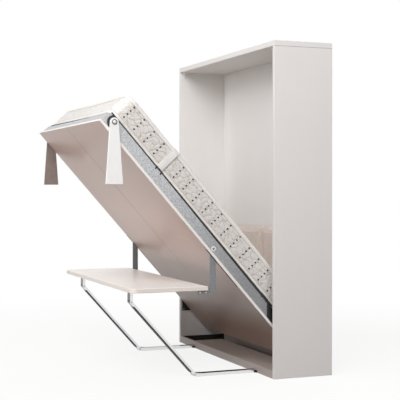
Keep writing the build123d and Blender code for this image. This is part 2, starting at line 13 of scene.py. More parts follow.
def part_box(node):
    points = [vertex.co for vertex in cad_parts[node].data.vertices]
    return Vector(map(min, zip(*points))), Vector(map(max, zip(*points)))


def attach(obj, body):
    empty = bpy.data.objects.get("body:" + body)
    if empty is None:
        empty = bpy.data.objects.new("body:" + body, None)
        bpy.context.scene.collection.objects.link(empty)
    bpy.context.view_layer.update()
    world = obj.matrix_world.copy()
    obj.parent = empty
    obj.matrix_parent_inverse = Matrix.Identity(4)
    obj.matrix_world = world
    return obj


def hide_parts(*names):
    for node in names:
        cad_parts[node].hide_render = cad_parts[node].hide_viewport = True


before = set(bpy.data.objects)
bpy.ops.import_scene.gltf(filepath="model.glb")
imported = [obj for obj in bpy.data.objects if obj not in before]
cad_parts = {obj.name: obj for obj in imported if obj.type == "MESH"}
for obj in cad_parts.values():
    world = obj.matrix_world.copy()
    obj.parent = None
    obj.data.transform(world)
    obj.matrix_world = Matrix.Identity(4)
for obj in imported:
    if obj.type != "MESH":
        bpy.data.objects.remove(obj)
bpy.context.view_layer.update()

LOG = logging.getLogger("wall_bed")

# The bed's own frame: the pivot at the origin, -Y to the foot, +Z to the sleeper
PIVOT = (0, 0.040, 0.352)
REST_ANGLE = math.radians(48.6)
BED = Matrix.Translation(PIVOT) @ Matrix.Rotation(-REST_ANGLE, 4, "X")
BED_UP = tuple(BED.to_3x3() @ Vector((0, 0, 1)))
BED_FOOT = tuple(BED.to_3x3() @ Vector((0, -1, 0)))

Colour = tuple[int, int, int]
Pair = tuple[float, float]
Point = tuple[float, float, float]
Seat = tuple[Point, Point]
Light = tuple[float, float, float, float]
Value = Any
Socket = bpy.types.NodeSocket

WHITE: Light = (1.0, 1.0, 1.0, 1.0)


def linear(colour: Colour) -> Light:
    """Turns a screen colour into the linear light that shaders take.

    Args:
        colour: red, green and blue from 0 to 255.

    Returns:
        The linear colour, with an alpha of 1.
    """
    parts = [c / 255 for c in colour]
    light = [p / 12.92 if p <= 0.04045 else ((p + 0.055) / 1.055) ** 2.4 for p in parts]
    return (*light, 1.0)


def shade(colour: Colour, factor: float) -> Colour:
    """Scales a screen colour, held below white."""
    return tuple(min(255, round(c * factor)) for c in colour)


class Graph:
    """A node tree, with short calls for the nodes that the finishes use."""

    def __init__(self, tree: bpy.types.NodeTree) -> None:
        """Keeps the tree that the nodes go into."""
        self.tree = tree

    def node(
        self, kind: str, inputs: Optional[dict[Any, Value]] = None, **settings: Any,
    ) -> bpy.types.Node:
        """Adds a shader node.

        Args:
            kind: the node's type, without the ShaderNode before it.
            inputs: a value or another node's socket for each named or numbered input.
            settings: the node's own settings.

        Returns:
            The new node.
        """
        made = self.tree.nodes.new("ShaderNode" + kind)
        for name, setting in settings.items():
            setattr(made, name, setting)
        for name, value in (inputs or {}).items():
            self.feed(made.inputs[name], value)
        return made

    def feed(self, socket: Socket, value: Value) -> None:
        """Links a socket into an input, or sets the input to a plain value.

        Args:
            socket: the input.
            value: another node's socket, or a plain value.
        """
        if isinstance(value, Socket):
            self.tree.links.new(value, socket)
        else:
            socket.default_value = value

    def math(self, operation: str, a: Value, b: Value = 0.0, clamp: bool = False) -> Socket:
        """Adds a Math node and returns its result."""
        return self.node("Math", {0: a, 1: b}, operation=operation, use_clamp=clamp).outputs[0]

    def vector(self, operation: str, a: Value, b: Value = (0, 0, 0)) -> bpy.types.Node:
        """Adds a Vector Math node."""
        return self.node("VectorMath", {0: a, 1: b}, operation=operation)

    def remap(
        self, value: Value, low: float, high: float, out_low: float = 0, out_high: float = 1,
    ) -> Socket:
        """Adds a clamped Map Range node and returns its result.

        Args:
            value: what is mapped.
            low: the value that gives out_low.
            high: the value that gives out_high.
            out_low: the result at low.
            out_high: the result at high.

        Returns:
            The mapped value.
        """
        limits = {"From Min": low, "From Max": high, "To Min": out_low, "To Max": out_high}
        return self.node("MapRange", {"Value": value, **limits}).outputs[0]

    def part(self, vector: Value, axis: int) -> Socket:
        """Returns one part of a vector, by the number of its axis."""
        return self.node("SeparateXYZ", {0: vector}).outputs[axis]

    def scaled(self, vector: Value, factor: Value) -> Socket:
        """Scales a vector or a colour by a value that may vary."""
        return self.node("VectorMath", {0: vector, "Scale": factor}, operation="SCALE").outputs[0]

    def dot(self, a: Value, b: Value) -> Socket:
        """Returns the dot product of two vectors."""
        return self.vector("DOT_PRODUCT", a, b).outputs["Value"]

    def mix(self, factor: Value, a: Value, b: Value) -> Socket:
        """Mixes two colours and returns the mixed one.

        Args:
            factor: the share of the second colour.
            a: the first colour, as a socket or a linear colour.
            b: the second colour.

        Returns:
            The mixed colour.
        """
        inputs = {"Factor_Float": factor, "A_Color": a, "B_Color": b}
        made = self.node("Mix", None, data_type="RGBA")
        by_id = {socket.identifier: socket for socket in made.inputs}
        for name, value in inputs.items():
            self.feed(by_id[name], value)
        return next(s for s in made.outputs if s.identifier == "Result_Color")

    def noise(self, vector: Value, scale: Value, detail: float = 2, rough: float = 0.5) -> Socket:
        """Adds a Noise Texture and returns its value."""
        inputs = {"Vector": vector, "Scale": scale, "Detail": detail, "Roughness": rough}
        return self.node("TexNoise", inputs).outputs[0]

    def place(self, vector: Value, turn: Point = (0, 0, 0), scale: Point = (1, 1, 1)) -> Socket:
        """Turns and then scales coordinates.

        Args:
            vector: the coordinates.
            turn: angles about the axes, in radians.
            scale: factors along the turned axes.

        Returns:
            The new coordinates.
        """
        turned = self.node("Mapping", {"Vector": vector, "Rotation": turn}).outputs[0]
        return self.vector("MULTIPLY", turned, scale).outputs[0]


class Effect(Enum):
    """Surface effects that several finishes share, each one node group."""

    GRAIN = "board_grain"
    MOTTLE = "mottle"
    WEAVE = "weave"
    WEAR = "edge_wear"
    DUST = "settled_dust"


class Effects:
    """Builds each shared node group once and places it in materials."""

    # The part of a noise's range that runs from dark to light
    CLOUDS: ClassVar[Pair] = (0.3, 0.7)
    SPECKS_IN_CLOUD: ClassVar[float] = 7.0
    WEAVE_PEAK: ClassVar[float] = 1.2
    YARN_SQUEEZE: ClassVar[float] = 0.08
    WEAR_NOISE: ClassVar[float] = 90.0
    DUST_NOISE: ClassVar[float] = 9.0

    def __init__(self) -> None:
        """Starts with no group made."""
        self._made: dict[Effect, bpy.types.NodeTree] = {}
        self._makers: dict[Effect, Callable[[], bpy.types.NodeTree]] = {
            Effect.GRAIN: self._grain,
            Effect.MOTTLE: self._mottle,
            Effect.WEAVE: self._weave,
            Effect.WEAR: self._wear,
            Effect.DUST: self._dust,
        }

    def use(self, graph: Graph, effect: Effect, **inputs: Value) -> bpy.types.Node:
        """Places an effect in a material.

        Args:
            graph: the material's nodes.
            effect: the effect.
            inputs: a value or socket for each of the group's inputs.

        Returns:
            The group node.
        """
        if effect not in self._made:
            self._made[effect] = self._makers[effect]()
        placed = graph.node("Group", None, node_tree=self._made[effect])
        for name, value in inputs.items():
            graph.feed(placed.inputs[name], value)
        return placed

    @staticmethod
    def _start(
        effect: Effect, inputs: dict[str, Optional[float]], outputs: Sequence[str],
    ) -> tuple[Graph, Any, Any]:
        """Makes an empty group.

        Args:
            effect: the effect that names the group.
            inputs: a default for each value input, or None for a vector.
            outputs: the names of the value outputs.

        Returns:
            The group's graph, its input node and its output node.
        """
        tree = bpy.data.node_groups.new(effect.value, "ShaderNodeTree")
        for name, default in inputs.items():
            kind = "NodeSocketVector" if default is None else "NodeSocketFloat"
            socket = tree.interface.new_socket(name, in_out="INPUT", socket_type=kind)
            if default is not None:
                socket.default_value = default
        for name in outputs:
            tree.interface.new_socket(name, in_out="OUTPUT", socket_type="NodeSocketFloat")
        return Graph(tree), tree.nodes.new("NodeGroupInput"), tree.nodes.new("NodeGroupOutput")

    def _grain(self) -> bpy.types.NodeTree:
        """Streaks and pores along a board, from coordinates that are squeezed across the grain.

        Returns:
            The group.
        """
        graph, given, out = self._start(Effect.GRAIN, {"Vector": None}, ("Grain", "Pores"))
        bend = graph.node("TexNoise", {"Vector": given.outputs[0], "Scale": 0.35, "Detail": 2})
        bent = graph.vector("ADD", given.outputs[0], bend.outputs["Color"]).outputs[0]
        wide = graph.noise(bent, 1.0, 4, 0.6)
        fine = graph.noise(bent, 6.0, 3, 0.6)
        grain = graph.math("ADD", graph.math("MULTIPLY", wide, 0.6), graph.math("MULTIPLY", fine, 0.4))
        graph.feed(out.inputs["Grain"], graph.remap(grain, *self.CLOUDS))
        graph.feed(out.inputs["Pores"], graph.remap(graph.noise(bent, 13.0, 1), 0.62, 0.74))
        return graph.tree

    def _mottle(self) -> bpy.types.NodeTree:
        """Cloudy patches and small specks of a given size.

        Returns:
            The group.
        """
        inputs = {"Vector": None, "Size": 0.1}
        graph, given, out = self._start(Effect.MOTTLE, inputs, ("Mottle", "Speck"))
        scale = graph.math("DIVIDE", 1.0, given.outputs["Size"])
        cloud = graph.noise(given.outputs["Vector"], scale, 3, 0.55)
        graph.feed(out.inputs["Mottle"], graph.remap(cloud, *self.CLOUDS))
        finer = graph.math("MULTIPLY", scale, self.SPECKS_IN_CLOUD)
        speck = graph.noise(given.outputs["Vector"], finer, 2)
        graph.feed(out.inputs["Speck"], graph.remap(speck, 0.6, 0.72))
        return graph.tree

    def _weave(self) -> bpy.types.NodeTree:
        """Crossing threads on any face, with thick and thin places in the yarn.

        Returns:
            The group.
        """
        inputs = {"Vector": None, "Pitch": 0.002}
        graph, given, out = self._start(Effect.WEAVE, inputs, ("Threads", "Slub"))
        turns = graph.math("DIVIDE", 2 * math.pi, given.outputs["Pitch"])
        waves = graph.vector("SINE", graph.scaled(given.outputs["Vector"], turns)).outputs[0]
        parts = graph.node("SeparateXYZ", {0: waves}).outputs
        shifted = graph.node("CombineXYZ", {0: parts[1], 1: parts[2], 2: parts[0]}).outputs[0]
        crossed = graph.dot(waves, shifted)
        graph.feed(out.inputs["Threads"], graph.remap(crossed, -self.WEAVE_PEAK, self.WEAVE_PEAK))
        slubs = None
        for axis in range(3):
            squeeze = tuple(self.YARN_SQUEEZE if other == axis else 1.0 for other in range(3))
            yarn = graph.vector("MULTIPLY", given.outputs["Vector"], squeeze).outputs[0]
            slub = graph.noise(yarn, graph.math("DIVIDE", 0.5, given.outputs["Pitch"]), 1)
            slubs = slub if slubs is None else graph.math("ADD", slubs, slub)
        graph.feed(out.inputs["Slub"], graph.remap(slubs, 1.2, 1.8))
        return graph.tree

    def _wear(self) -> bpy.types.NodeTree:
        """A broken line along sharp edges.

        Returns:
            The group.
        """
        graph, given, out = self._start(Effect.WEAR, {"Width": 0.002}, ("Wear",))
        rounded = graph.node("Bevel", {"Radius": given.outputs["Width"]}, samples=4).outputs[0]
        flat = graph.node("NewGeometry").outputs["Normal"]
        edge = graph.remap(graph.dot(rounded, flat), 0.995, 0.9)
        place = graph.node("TexCoord").outputs["Object"]
        broken = graph.remap(graph.noise(place, self.WEAR_NOISE, 3), 0.38, 0.62)
        graph.feed(out.inputs["Wear"], graph.math("MULTIPLY", edge, broken))
        return graph.tree

    def _dust(self) -> bpy.types.NodeTree:
        """A thin veil on faces that look up.

        Returns:
            The group.
        """
        graph, given, out = self._start(Effect.DUST, {"Amount": 0.1}, ("Dust",))
        coords = graph.node("TexCoord").outputs
        up = graph.part(coords["Normal"], 2)
        patchy = graph.remap(graph.noise(coords["Object"], self.DUST_NOISE, 4), 0.3, 0.75)
        veil = graph.math("MULTIPLY", graph.remap(up, 0.35, 0.95), patchy)
        graph.feed(out.inputs["Dust"], graph.math("MULTIPLY", veil, given.outputs["Amount"]))
        return graph.tree


# How often the grain changes in a metre, across it and along it
GRAIN_FINE = 45.0
GRAIN_LONG = 1.6


class Run(Enum):
    """The way that a board's grain runs, as (turn about X, scale along each axis)."""

    UP = (0.0, (GRAIN_FINE, GRAIN_FINE, GRAIN_LONG))
    ACROSS = (0.0, (GRAIN_LONG, GRAIN_FINE, GRAIN_FINE))
    ALONG_BED = (REST_ANGLE, (GRAIN_FINE, GRAIN_LONG, GRAIN_FINE))


@dataclass(frozen=True)
class Ageing:
    """How a surface has aged: the width and strength of its worn edges, and its veil of dust."""

    width: float
    wear: float
    dust: float
    veil: Colour

    def lay(self, graph: Graph, effects: Effects, colour: Value, worn: Colour) -> Socket:
        """Wears a surface's edges and lays dust on it.

        Args:
            graph: the material's nodes.
            effects: the shared node groups.
            colour: the colour of the new surface.
            worn: the colour of worn edges.

        Returns:
            The aged colour.
        """
        edges = effects.use(graph, Effect.WEAR, Width=self.width).outputs["Wear"]
        colour = graph.mix(graph.math("MULTIPLY", edges, self.wear), colour, linear(worn))
        dust = effects.use(graph, Effect.DUST, Amount=self.dust).outputs["Dust"]
        return graph.mix(dust, colour, linear(self.veil))


@dataclass(frozen=True)
class Finish:
    """What every finish has: a name, a colour, and how rough it is."""

    name: str
    colour: Colour
    roughness: float

    def material(self, effects: Effects) -> bpy.types.Material:
        """Makes this finish's material, or finds it where it is made already.

        Args:
            effects: the shared node groups.

        Returns:
            The material.
        """
        found = bpy.data.materials.get(self.name)
        if found is not None:
            return found
        made = bpy.data.materials.new(self.name)
        made.use_nodes = True
        made.node_tree.nodes.clear()
        graph = Graph(made.node_tree)
        shader = graph.node("BsdfPrincipled", {"Roughness": self.roughness})
        graph.node("OutputMaterial", {"Surface": shader.outputs[0]})
        self.paint(graph, effects, shader)
        return made

    def paint(self, graph: Graph, effects: Effects, shader: bpy.types.Node) -> None:
        """Feeds the shader; each kind of finish has its own way."""
        raise NotImplementedError

    def tones(self, graph: Graph, factor: Value, spread: float) -> Socket:
        """Varies the colour between a darker and a lighter tone of it.

        Args:
            graph: the material's nodes.
            factor: 0 for the darker tone and 1 for the lighter.
            spread: how far each tone is from the colour, as a share.

        Returns:
            The varied colour.
        """
        return self.between(graph, factor, self.colour, spread)

    @staticmethod
    def between(graph: Graph, factor: Value, colour: Colour, spread: float) -> Socket:
        """Varies any colour between a darker and a lighter tone of it, as tones does."""
        ends = [linear(shade(colour, share)) for share in (1 - spread, 1 + spread)]
        return graph.mix(factor, *ends)

    def wobble(self, graph: Graph, value: Value, by: float) -> Socket:
        """Varies the roughness by an amount on either side, with a value from 0 to 1."""
        return graph.remap(value, 0, 1, self.roughness - by, self.roughness + by)

    @staticmethod
    def emboss(graph: Graph, shader: bpy.types.Node, height: Value, depth: float) -> None:
        """Raises the surface in shading by a height from 0 to 1 times a depth in metres."""
        bump = graph.node("Bump", {"Strength": 1.0, "Distance": depth, "Height": height})
        graph.feed(shader.inputs["Normal"], bump.outputs[0])


@dataclass(frozen=True)
class Board(Finish):
    """Faced board, with grain, soft blotches and worn edges, and edges of another colour; where given,
    painted shade along a seam and towards the bed's head.
    """

    run: Run = Run.UP
    grain: float = 0.015
    cloud: float = 0.012
    gloss: float = 0.0
    edge: Optional[Colour] = None
    face: Point = (0, 0, 1)
    pores: float = 0.1
    # seam: painted shade along the join of the two leaves, this wide
    seam: float = 0.0
    specular: float = 0.5
    # head: painted shade, the colour that the face darkens to towards the bed's head
    head: Optional[Colour] = None
    AGEING: ClassVar[Ageing] = Ageing(width=0.0016, wear=0.35, dust=0.12, veil=(226, 222, 216))
    BLOTCH_SIZE: ClassVar[float] = 0.35
    SEAM_SHADE_STRENGTH: ClassVar[float] = 0.6
    HEAD_SHADE_FADE: ClassVar[Pair] = (1.20, 0.50)
    HEAD_SHADE_SPREAD: ClassVar[float] = 0.015
    COAT_ROUGHNESS: ClassVar[float] = 0.12
    RELIEF: ClassVar[float] = 0.00003

    def paint(self, graph: Graph, effects: Effects, shader: bpy.types.Node) -> None:
        """Feeds colour, roughness and a fine relief.

        Args:
            graph: the material's nodes.
            effects: the shared node groups.
            shader: the Principled shader.
        """
        coords = graph.node("TexCoord").outputs
        place = coords["Object"]
        turn, scale = self.run.value
        run = graph.place(place, (turn, 0, 0), scale)
        grain = effects.use(graph, Effect.GRAIN, Vector=run).outputs
        cloud = effects.use(graph, Effect.MOTTLE, Vector=place, Size=self.BLOTCH_SIZE).outputs
        colour = self.tones(graph, grain["Grain"], self.grain)
        tone = graph.remap(cloud["Mottle"], 0, 1, 1 - self.cloud, 1 + self.cloud)
        colour = graph.scaled(colour, tone)
        pores = graph.math("MULTIPLY", grain["Pores"], self.pores)
        colour = graph.mix(pores, colour, linear(shade(self.colour, 0.8)))
        if self.edge is not None:
            facing = graph.dot(coords["Normal"], self.face)
            is_edge = graph.math("LESS_THAN", graph.math("ABSOLUTE", facing), 0.5)
            colour = graph.mix(is_edge, colour, linear(self.edge))
        # Painted shade: darker along the join of the two leaves, near X = 0.
        if self.seam:
            across = graph.math("ABSOLUTE", graph.part(place, 0))
            near = graph.remap(across, 0.3 * self.seam, self.seam, self.SEAM_SHADE_STRENGTH, 0.0)
            colour = graph.mix(near, colour, linear(shade(self.colour, 0.45)))
        # Painted shade: the face darkens towards the bed's head.
        if self.head is not None:
            plain = self.between(graph, cloud["Mottle"], self.head, self.HEAD_SHADE_SPREAD)
            on_face = graph.math("SUBTRACT", 1.0, is_edge) if self.edge is not None else 1.0
            head_shade = graph.remap(graph.dot(place, BED_FOOT), *self.HEAD_SHADE_FADE)
            colour = graph.mix(graph.math("MULTIPLY", head_shade, on_face), colour, plain)
        colour = self.AGEING.lay(graph, effects, colour, shade(self.colour, 0.86))
        graph.feed(shader.inputs["Base Color"], colour)
        graph.feed(shader.inputs["Roughness"], self.wobble(graph, grain["Grain"], 0.04))
        shader.inputs["Specular IOR Level"].default_value = self.specular
        shader.inputs["Coat Weight"].default_value = self.gloss
        shader.inputs["Coat Roughness"].default_value = self.COAT_ROUGHNESS
        self.emboss(graph, shader, grain["Grain"], self.RELIEF)


@dataclass(frozen=True)
class Painted(Finish):
    """Powder-coated or plated sheet, with mottle, orange-peel and worn edges; where given, painted
    shade on the faces that look towards the middle of the bed and towards the bed's head.
    """

    size: float = 0.02
    spread: float = 0.05
    speck: float = 0.0
    metallic: float = 0.0
    bare: Colour = (150, 150, 150)
    peel: float = 0.00008
    # inner: painted shade on the faces that look towards the middle of the bed
    inner: Optional[Colour] = None
    # head: painted shade, the tone that the colour darkens by towards the bed's head
    head: float = 1.0
    AGEING: ClassVar[Ageing] = Ageing(width=0.001, wear=0.3, dust=0.1, veil=(190, 186, 180))
    INNER_SHADE_SPREAD: ClassVar[float] = 0.04
    HEAD_SHADE_FADE: ClassVar[Pair] = (1.35, 0.55)
    HEAD_SHADE_TONES: ClassVar[Pair] = (0.92, 1.08)
    PEEL_NOISE: ClassVar[float] = 900.0

    def paint(self, graph: Graph, effects: Effects, shader: bpy.types.Node) -> None:
        """Feeds colour, roughness and the relief of the coat.

        Args:
            graph: the material's nodes.
            effects: the shared node groups.
            shader: the Principled shader.
        """
        coords = graph.node("TexCoord").outputs
        place = coords["Object"]
        mottle = effects.use(graph, Effect.MOTTLE, Vector=place, Size=self.size).outputs
        colour = self.tones(graph, mottle["Mottle"], self.spread)
        specks = graph.math("MULTIPLY", mottle["Speck"], self.speck)
        colour = graph.mix(specks, colour, linear(shade(self.colour, 1.25)))
        # Painted shade on the faces that look towards the middle of the bed.
        if self.inner is not None:
            plain = self.between(graph, mottle["Mottle"], self.inner, self.INNER_SHADE_SPREAD)
            colour = graph.mix(self._shaded_faces_in(graph, coords), colour, plain)
        # Painted shade: the colour darkens towards the bed's head.
        if self.head != 1.0:
            tones = [linear(shade(self.colour, self.head * tone)) for tone in self.HEAD_SHADE_TONES]
            dark = graph.mix(mottle["Mottle"], *tones)
            head_shade = graph.remap(graph.dot(place, BED_FOOT), *self.HEAD_SHADE_FADE)
            colour = graph.mix(head_shade, colour, dark)
        colour = self.AGEING.lay(graph, effects, colour, self.bare)
        graph.feed(shader.inputs["Base Color"], colour)
        shader.inputs["Metallic"].default_value = self.metallic
        graph.feed(shader.inputs["Roughness"], self.wobble(graph, mottle["Mottle"], 0.06))
        self.emboss(graph, shader, graph.noise(place, self.PEEL_NOISE, 2), self.peel)

    @staticmethod
    def _shaded_faces_in(graph: Graph, coords: Any) -> Socket:
        """Finds the faces that look towards the middle of the bed, which get painted shade.

        Args:
            graph: the material's nodes.
            coords: the texture coordinates.

        Returns:
            1 on those faces and 0 elsewhere.
        """
        side = graph.math("SIGN", graph.part(coords["Object"], 0))
        way = graph.part(coords["Normal"], 0)
        return graph.math("LESS_THAN", graph.math("MULTIPLY", side, way), -0.5)


@dataclass(frozen=True)
class Plated(Finish):
    """Bare or plated metal, with draw lines, smudges and dull places; faces that don't look along X may
    get a painted dark reflection.
    """

    lines: Point = (300.0, 300.0, 8.0)
    smudge: float = 0.1
    # a painted dark reflection on the faces that don't look along X
    dark_reflection: Optional[Colour] = None
    SMUDGE_SIZE: ClassVar[float] = 0.06
    LINE_SPREAD: ClassVar[float] = 0.03
    DARK_REFLECTION_SPREAD: ClassVar[float] = 0.06
    SPECK_SHARE: ClassVar[float] = 0.25
    WEAR_WIDTH: ClassVar[float] = 0.0015
    WORN_ROUGHNESS: ClassVar[float] = 0.15
    RELIEF: ClassVar[float] = 0.00002

    def paint(self, graph: Graph, effects: Effects, shader: bpy.types.Node) -> None:
        """Feeds colour, metal and roughness.

        Args:
            graph: the material's nodes.
            effects: the shared node groups.
            shader: the Principled shader.
        """
        coords = graph.node("TexCoord").outputs
        place = coords["Object"]
        drawn = graph.noise(graph.place(place, (REST_ANGLE, 0, 0), self.lines), 1.0, 3)
        mottle = effects.use(graph, Effect.MOTTLE, Vector=place, Size=self.SMUDGE_SIZE).outputs
        colour = self.tones(graph, drawn, self.LINE_SPREAD)
        # Painted reflection: faces that don't look along X take a dark tint for the dark surroundings
        # that they mirror.
        if self.dark_reflection is not None:
            sideways = graph.math("ABSOLUTE", graph.part(coords["Normal"], 0))
            wide = graph.math("LESS_THAN", sideways, 0.6)
            reflected = self.between(graph, drawn, self.dark_reflection, self.DARK_REFLECTION_SPREAD)
            colour = graph.mix(wide, colour, reflected)
        specks = graph.math("MULTIPLY", mottle["Speck"], self.SPECK_SHARE)
        colour = graph.mix(specks, colour, linear(shade(self.colour, 0.8)))
        graph.feed(shader.inputs["Base Color"], colour)
        shader.inputs["Metallic"].default_value = 1.0
        worn = effects.use(graph, Effect.WEAR, Width=self.WEAR_WIDTH).outputs["Wear"]
        dulled = self.roughness + self.smudge
        rough = graph.remap(mottle["Mottle"], 0.2, 0.9, self.roughness, dulled)
        rough = graph.math("ADD", rough, graph.math("MULTIPLY", worn, self.WORN_ROUGHNESS))
        graph.feed(shader.inputs["Roughness"], rough)
        self.emboss(graph, shader, drawn, self.RELIEF)


@dataclass(frozen=True)
class Moulded(Finish):
    """Moulded plastic, with a fine spark-eroded texture and a little haze."""

    haze: Colour = (70, 68, 66)
    AGEING: ClassVar[Ageing] = Ageing(width=0.0012, wear=0.3, dust=0.15, veil=(180, 176, 170))
    CLOUD_SIZE: ClassVar[float] = 0.03
    CLOUD_SPREAD: ClassVar[float] = 0.08
    SPARK_NOISE: ClassVar[float] = 1400.0
    RELIEF: ClassVar[float] = 0.00012

    def paint(self, graph: Graph, effects: Effects, shader: bpy.types.Node) -> None:
        """Feeds colour, roughness and texture.

        Args:
            graph: the material's nodes.
            effects: the shared node groups.
            shader: the Principled shader.
        """
        place = graph.node("TexCoord").outputs["Object"]
        mottle = effects.use(graph, Effect.MOTTLE, Vector=place, Size=self.CLOUD_SIZE).outputs
        colour = self.tones(graph, mottle["Mottle"], self.CLOUD_SPREAD)
        colour = self.AGEING.lay(graph, effects, colour, self.haze)
        graph.feed(shader.inputs["Base Color"], colour)
        graph.feed(shader.inputs["Roughness"], self.wobble(graph, mottle["Mottle"], 0.05))
        self.emboss(graph, shader, graph.noise(place, self.SPARK_NOISE, 2), self.RELIEF)


@dataclass(frozen=True)
class Cloth(Finish):
    """Woven cloth: threads and slubs, with painted shade in the stitched hollows where the piece stores
    a low relief.
    """

    pitch: float = 0.002
    depth: float = 0.0004
    thread: float = 0.05
    slub: float = 0.06
    sheen: float = 0.15
    # painted shade in the stitched hollows
    groove_shade: Optional[Colour] = None
    roll: Optional[Colour] = None
    CLOUD_SIZE: ClassVar[float] = 0.12
    FADED_SHARE: ClassVar[float] = 0.1
    HOLLOW_SHADE: ClassVar[Pair] = (0.7, 0.05)
    ROLLED: ClassVar[Pair] = (1.1, 1.4)
    SHEEN_ROUGHNESS: ClassVar[float] = 0.6
    THREAD_SHINE: ClassVar[float] = 0.08

    def paint(self, graph: Graph, effects: Effects, shader: bpy.types.Node) -> None:
        """Feeds colour, sheen and the relief of the threads.

        Args:
            graph: the material's nodes.
            effects: the shared node groups.
            shader: the Principled shader.
        """
        place = graph.node("TexCoord").outputs["Object"]
        weave = effects.use(graph, Effect.WEAVE, Vector=place, Pitch=self.pitch).outputs
        cloud = effects.use(graph, Effect.MOTTLE, Vector=place, Size=self.CLOUD_SIZE).outputs
        colour = self.tones(graph, weave["Threads"], self.thread)
        slubs = graph.math("MULTIPLY", weave["Slub"], self.slub)
        colour = graph.mix(slubs, colour, linear(shade(self.colour, 0.82)))
        faded = graph.math("MULTIPLY", cloud["Mottle"], self.FADED_SHARE)
        colour = graph.mix(faded, colour, linear(shade(self.colour, 1.06)))
        # Painted shade: darker in the stitched hollows, where the stored relief is low.
        if self.groove_shade is not None:
            relief = graph.node("Attribute", None, attribute_name="relief").outputs["Fac"]
            colour = graph.mix(graph.remap(relief, *self.HOLLOW_SHADE), colour, linear(self.groove_shade))
            if self.roll is not None:
                colour = graph.mix(graph.remap(relief, *self.ROLLED), colour, linear(self.roll))
        graph.feed(shader.inputs["Base Color"], colour)
        shader.inputs["Sheen Weight"].default_value = self.sheen
        shader.inputs["Sheen Roughness"].default_value = self.SHEEN_ROUGHNESS
        shiny = self.roughness - self.THREAD_SHINE
        rough = graph.remap(weave["Threads"], 0, 1, self.roughness, shiny)
        graph.feed(shader.inputs["Roughness"], rough)
        height = graph.math("ADD", weave["Threads"], graph.math("MULTIPLY", weave["Slub"], 0.5))
        self.emboss(graph, shader, height, self.depth)


class Shell:
    """Points and faces of a mesh in the making."""

    def __init__(self) -> None:
        """Starts empty."""
        self.points: list[np.ndarray] = []
        self.faces: list[tuple[int, ...]] = []
        self.count = 0

    def add(self, points: np.ndarray) -> int:
        """Adds points.

        Args:
            points: the points, a row each.

        Returns:
            The index of the first.
        """
        first = self.count
        self.points.append(np.asarray(points, dtype=float))
        self.count += len(points)
        return first

    def tube(self, rings: Sequence[np.ndarray], closed: bool = False) -> None:
        """Joins rings of equal count into a tube.

        Args:
            rings: the rings, each an array of points.
            closed: whether the last ring joins the first; otherwise both ends get a face.
        """
        size = len(rings[0])
        firsts = [self.add(ring) for ring in rings]
        pairs = list(zip(firsts, firsts[1:]))
        if closed:
            pairs.append((firsts[-1], firsts[0]))
        else:
            self.faces.append(tuple(range(firsts[0], firsts[0] + size))[::-1])
            self.faces.append(tuple(range(firsts[-1], firsts[-1] + size)))
        for low, high in pairs:
            for step in range(size):
                after = (step + 1) % size
                self.faces.append((low + step, low + after, high + after, high + step))

    def block(self, low: Point, high: Point, chamfer: float) -> None:
        """Adds a block with chamfered edges.

        Args:
            low: its low corner.
            high: its high corner.
            chamfer: the size of the chamfers.
        """
        rings = []
        below = (low[2], chamfer), (low[2] + chamfer, 0.0)
        above = (high[2] - chamfer, 0.0), (high[2], chamfer)
        for z, cut in below + above:
            x0, y0, x1, y1 = low[0] + cut, low[1] + cut, high[0] - cut, high[1] - cut
            rings.append(np.array([(x0, y0, z), (x1, y0, z), (x1, y1, z), (x0, y1, z)]))
        self.tube(rings)

    def piece(self, name: str, place: Optional[Matrix] = None, sharp: float = 40) -> bpy.types.Object:
        """Makes the Blender object.

        Args:
            name: the piece's name.
            place: where the points' own frame is.
            sharp: the angle in degrees above which an edge stays sharp.

        Returns:
            The new object.
        """
        mesh = bpy.data.meshes.new(name)
        mesh.from_pydata(np.concatenate(self.points).tolist(), [], self.faces)
        mesh.validate()
        mesh.shade_smooth()
        mesh.set_sharp_from_angle(angle=math.radians(sharp))
        made = bpy.data.objects.new(name, mesh)
        bpy.context.scene.collection.objects.link(made)
        if place is not None:
            made.matrix_world = place
        return made


@dataclass(frozen=True)
class Outline:
    """A rectangle with round corners and sides that are drawn in, walked at even steps."""

    half_x: float
    half_y: float
    corner: float
    draw: float
    count: int

    def walk(self) -> tuple[np.ndarray, np.ndarray, np.ndarray]:
        """Walks round the outline once.

        Returns:
            The points, the outward normals, and the distance walked to each point.
        """
        run_x, run_y, r = self.half_x - self.corner, self.half_y - self.corner, self.corner
        quarter = math.pi * r / 2
        total = 4 * (run_x + run_y + quarter)
        walked = np.arange(self.count) * total / self.count
        points = np.empty((self.count, 2))
        normals = np.empty((self.count, 2))
        for index, way in enumerate(walked):
            points[index], normals[index] = self._at(way, run_x, run_y, quarter)
        return points, normals, walked

    def _at(self, way: float, run_x: float, run_y: float, quarter: float) -> tuple[Pair, Pair]:
        """Finds one point of the walk, which starts at the middle of the side at -Y.

        Args:
            way: the distance walked.
            run_x: half of a straight run along X.
            run_y: half of a straight run along Y.
            quarter: the length of a corner's arc.

        Returns:
            The point and its outward normal.
        """
        runs = (run_x, run_y), (run_y, run_x)
        sides = (0, -1, *runs[0]), (1, 0, *runs[1]), (0, 1, *runs[0]), (-1, 0, *runs[1])
        way = way + run_x
        for nx, ny, run, other in sides * 2:
            tx, ty = -ny, nx
            out = other + self.corner
            if way < 2 * run:
                along = way - run
                pull = self.draw * (1 - (along / run) ** 2)
                return (nx * (out - pull) + tx * along, ny * (out - pull) + ty * along), (nx, ny)
            way -= 2 * run
            if way < quarter:
                angle = way / self.corner
                cos, sin = math.cos(angle), math.sin(angle)
                dx, dy = nx * cos + tx * sin, ny * cos + ty * sin
                centre = (nx * other + tx * run, ny * other + ty * run)
                return (centre[0] + self.corner * dx, centre[1] + self.corner * dy), (dx, dy)
            way -= quarter
        raise ValueError("the walk is longer than the outline")


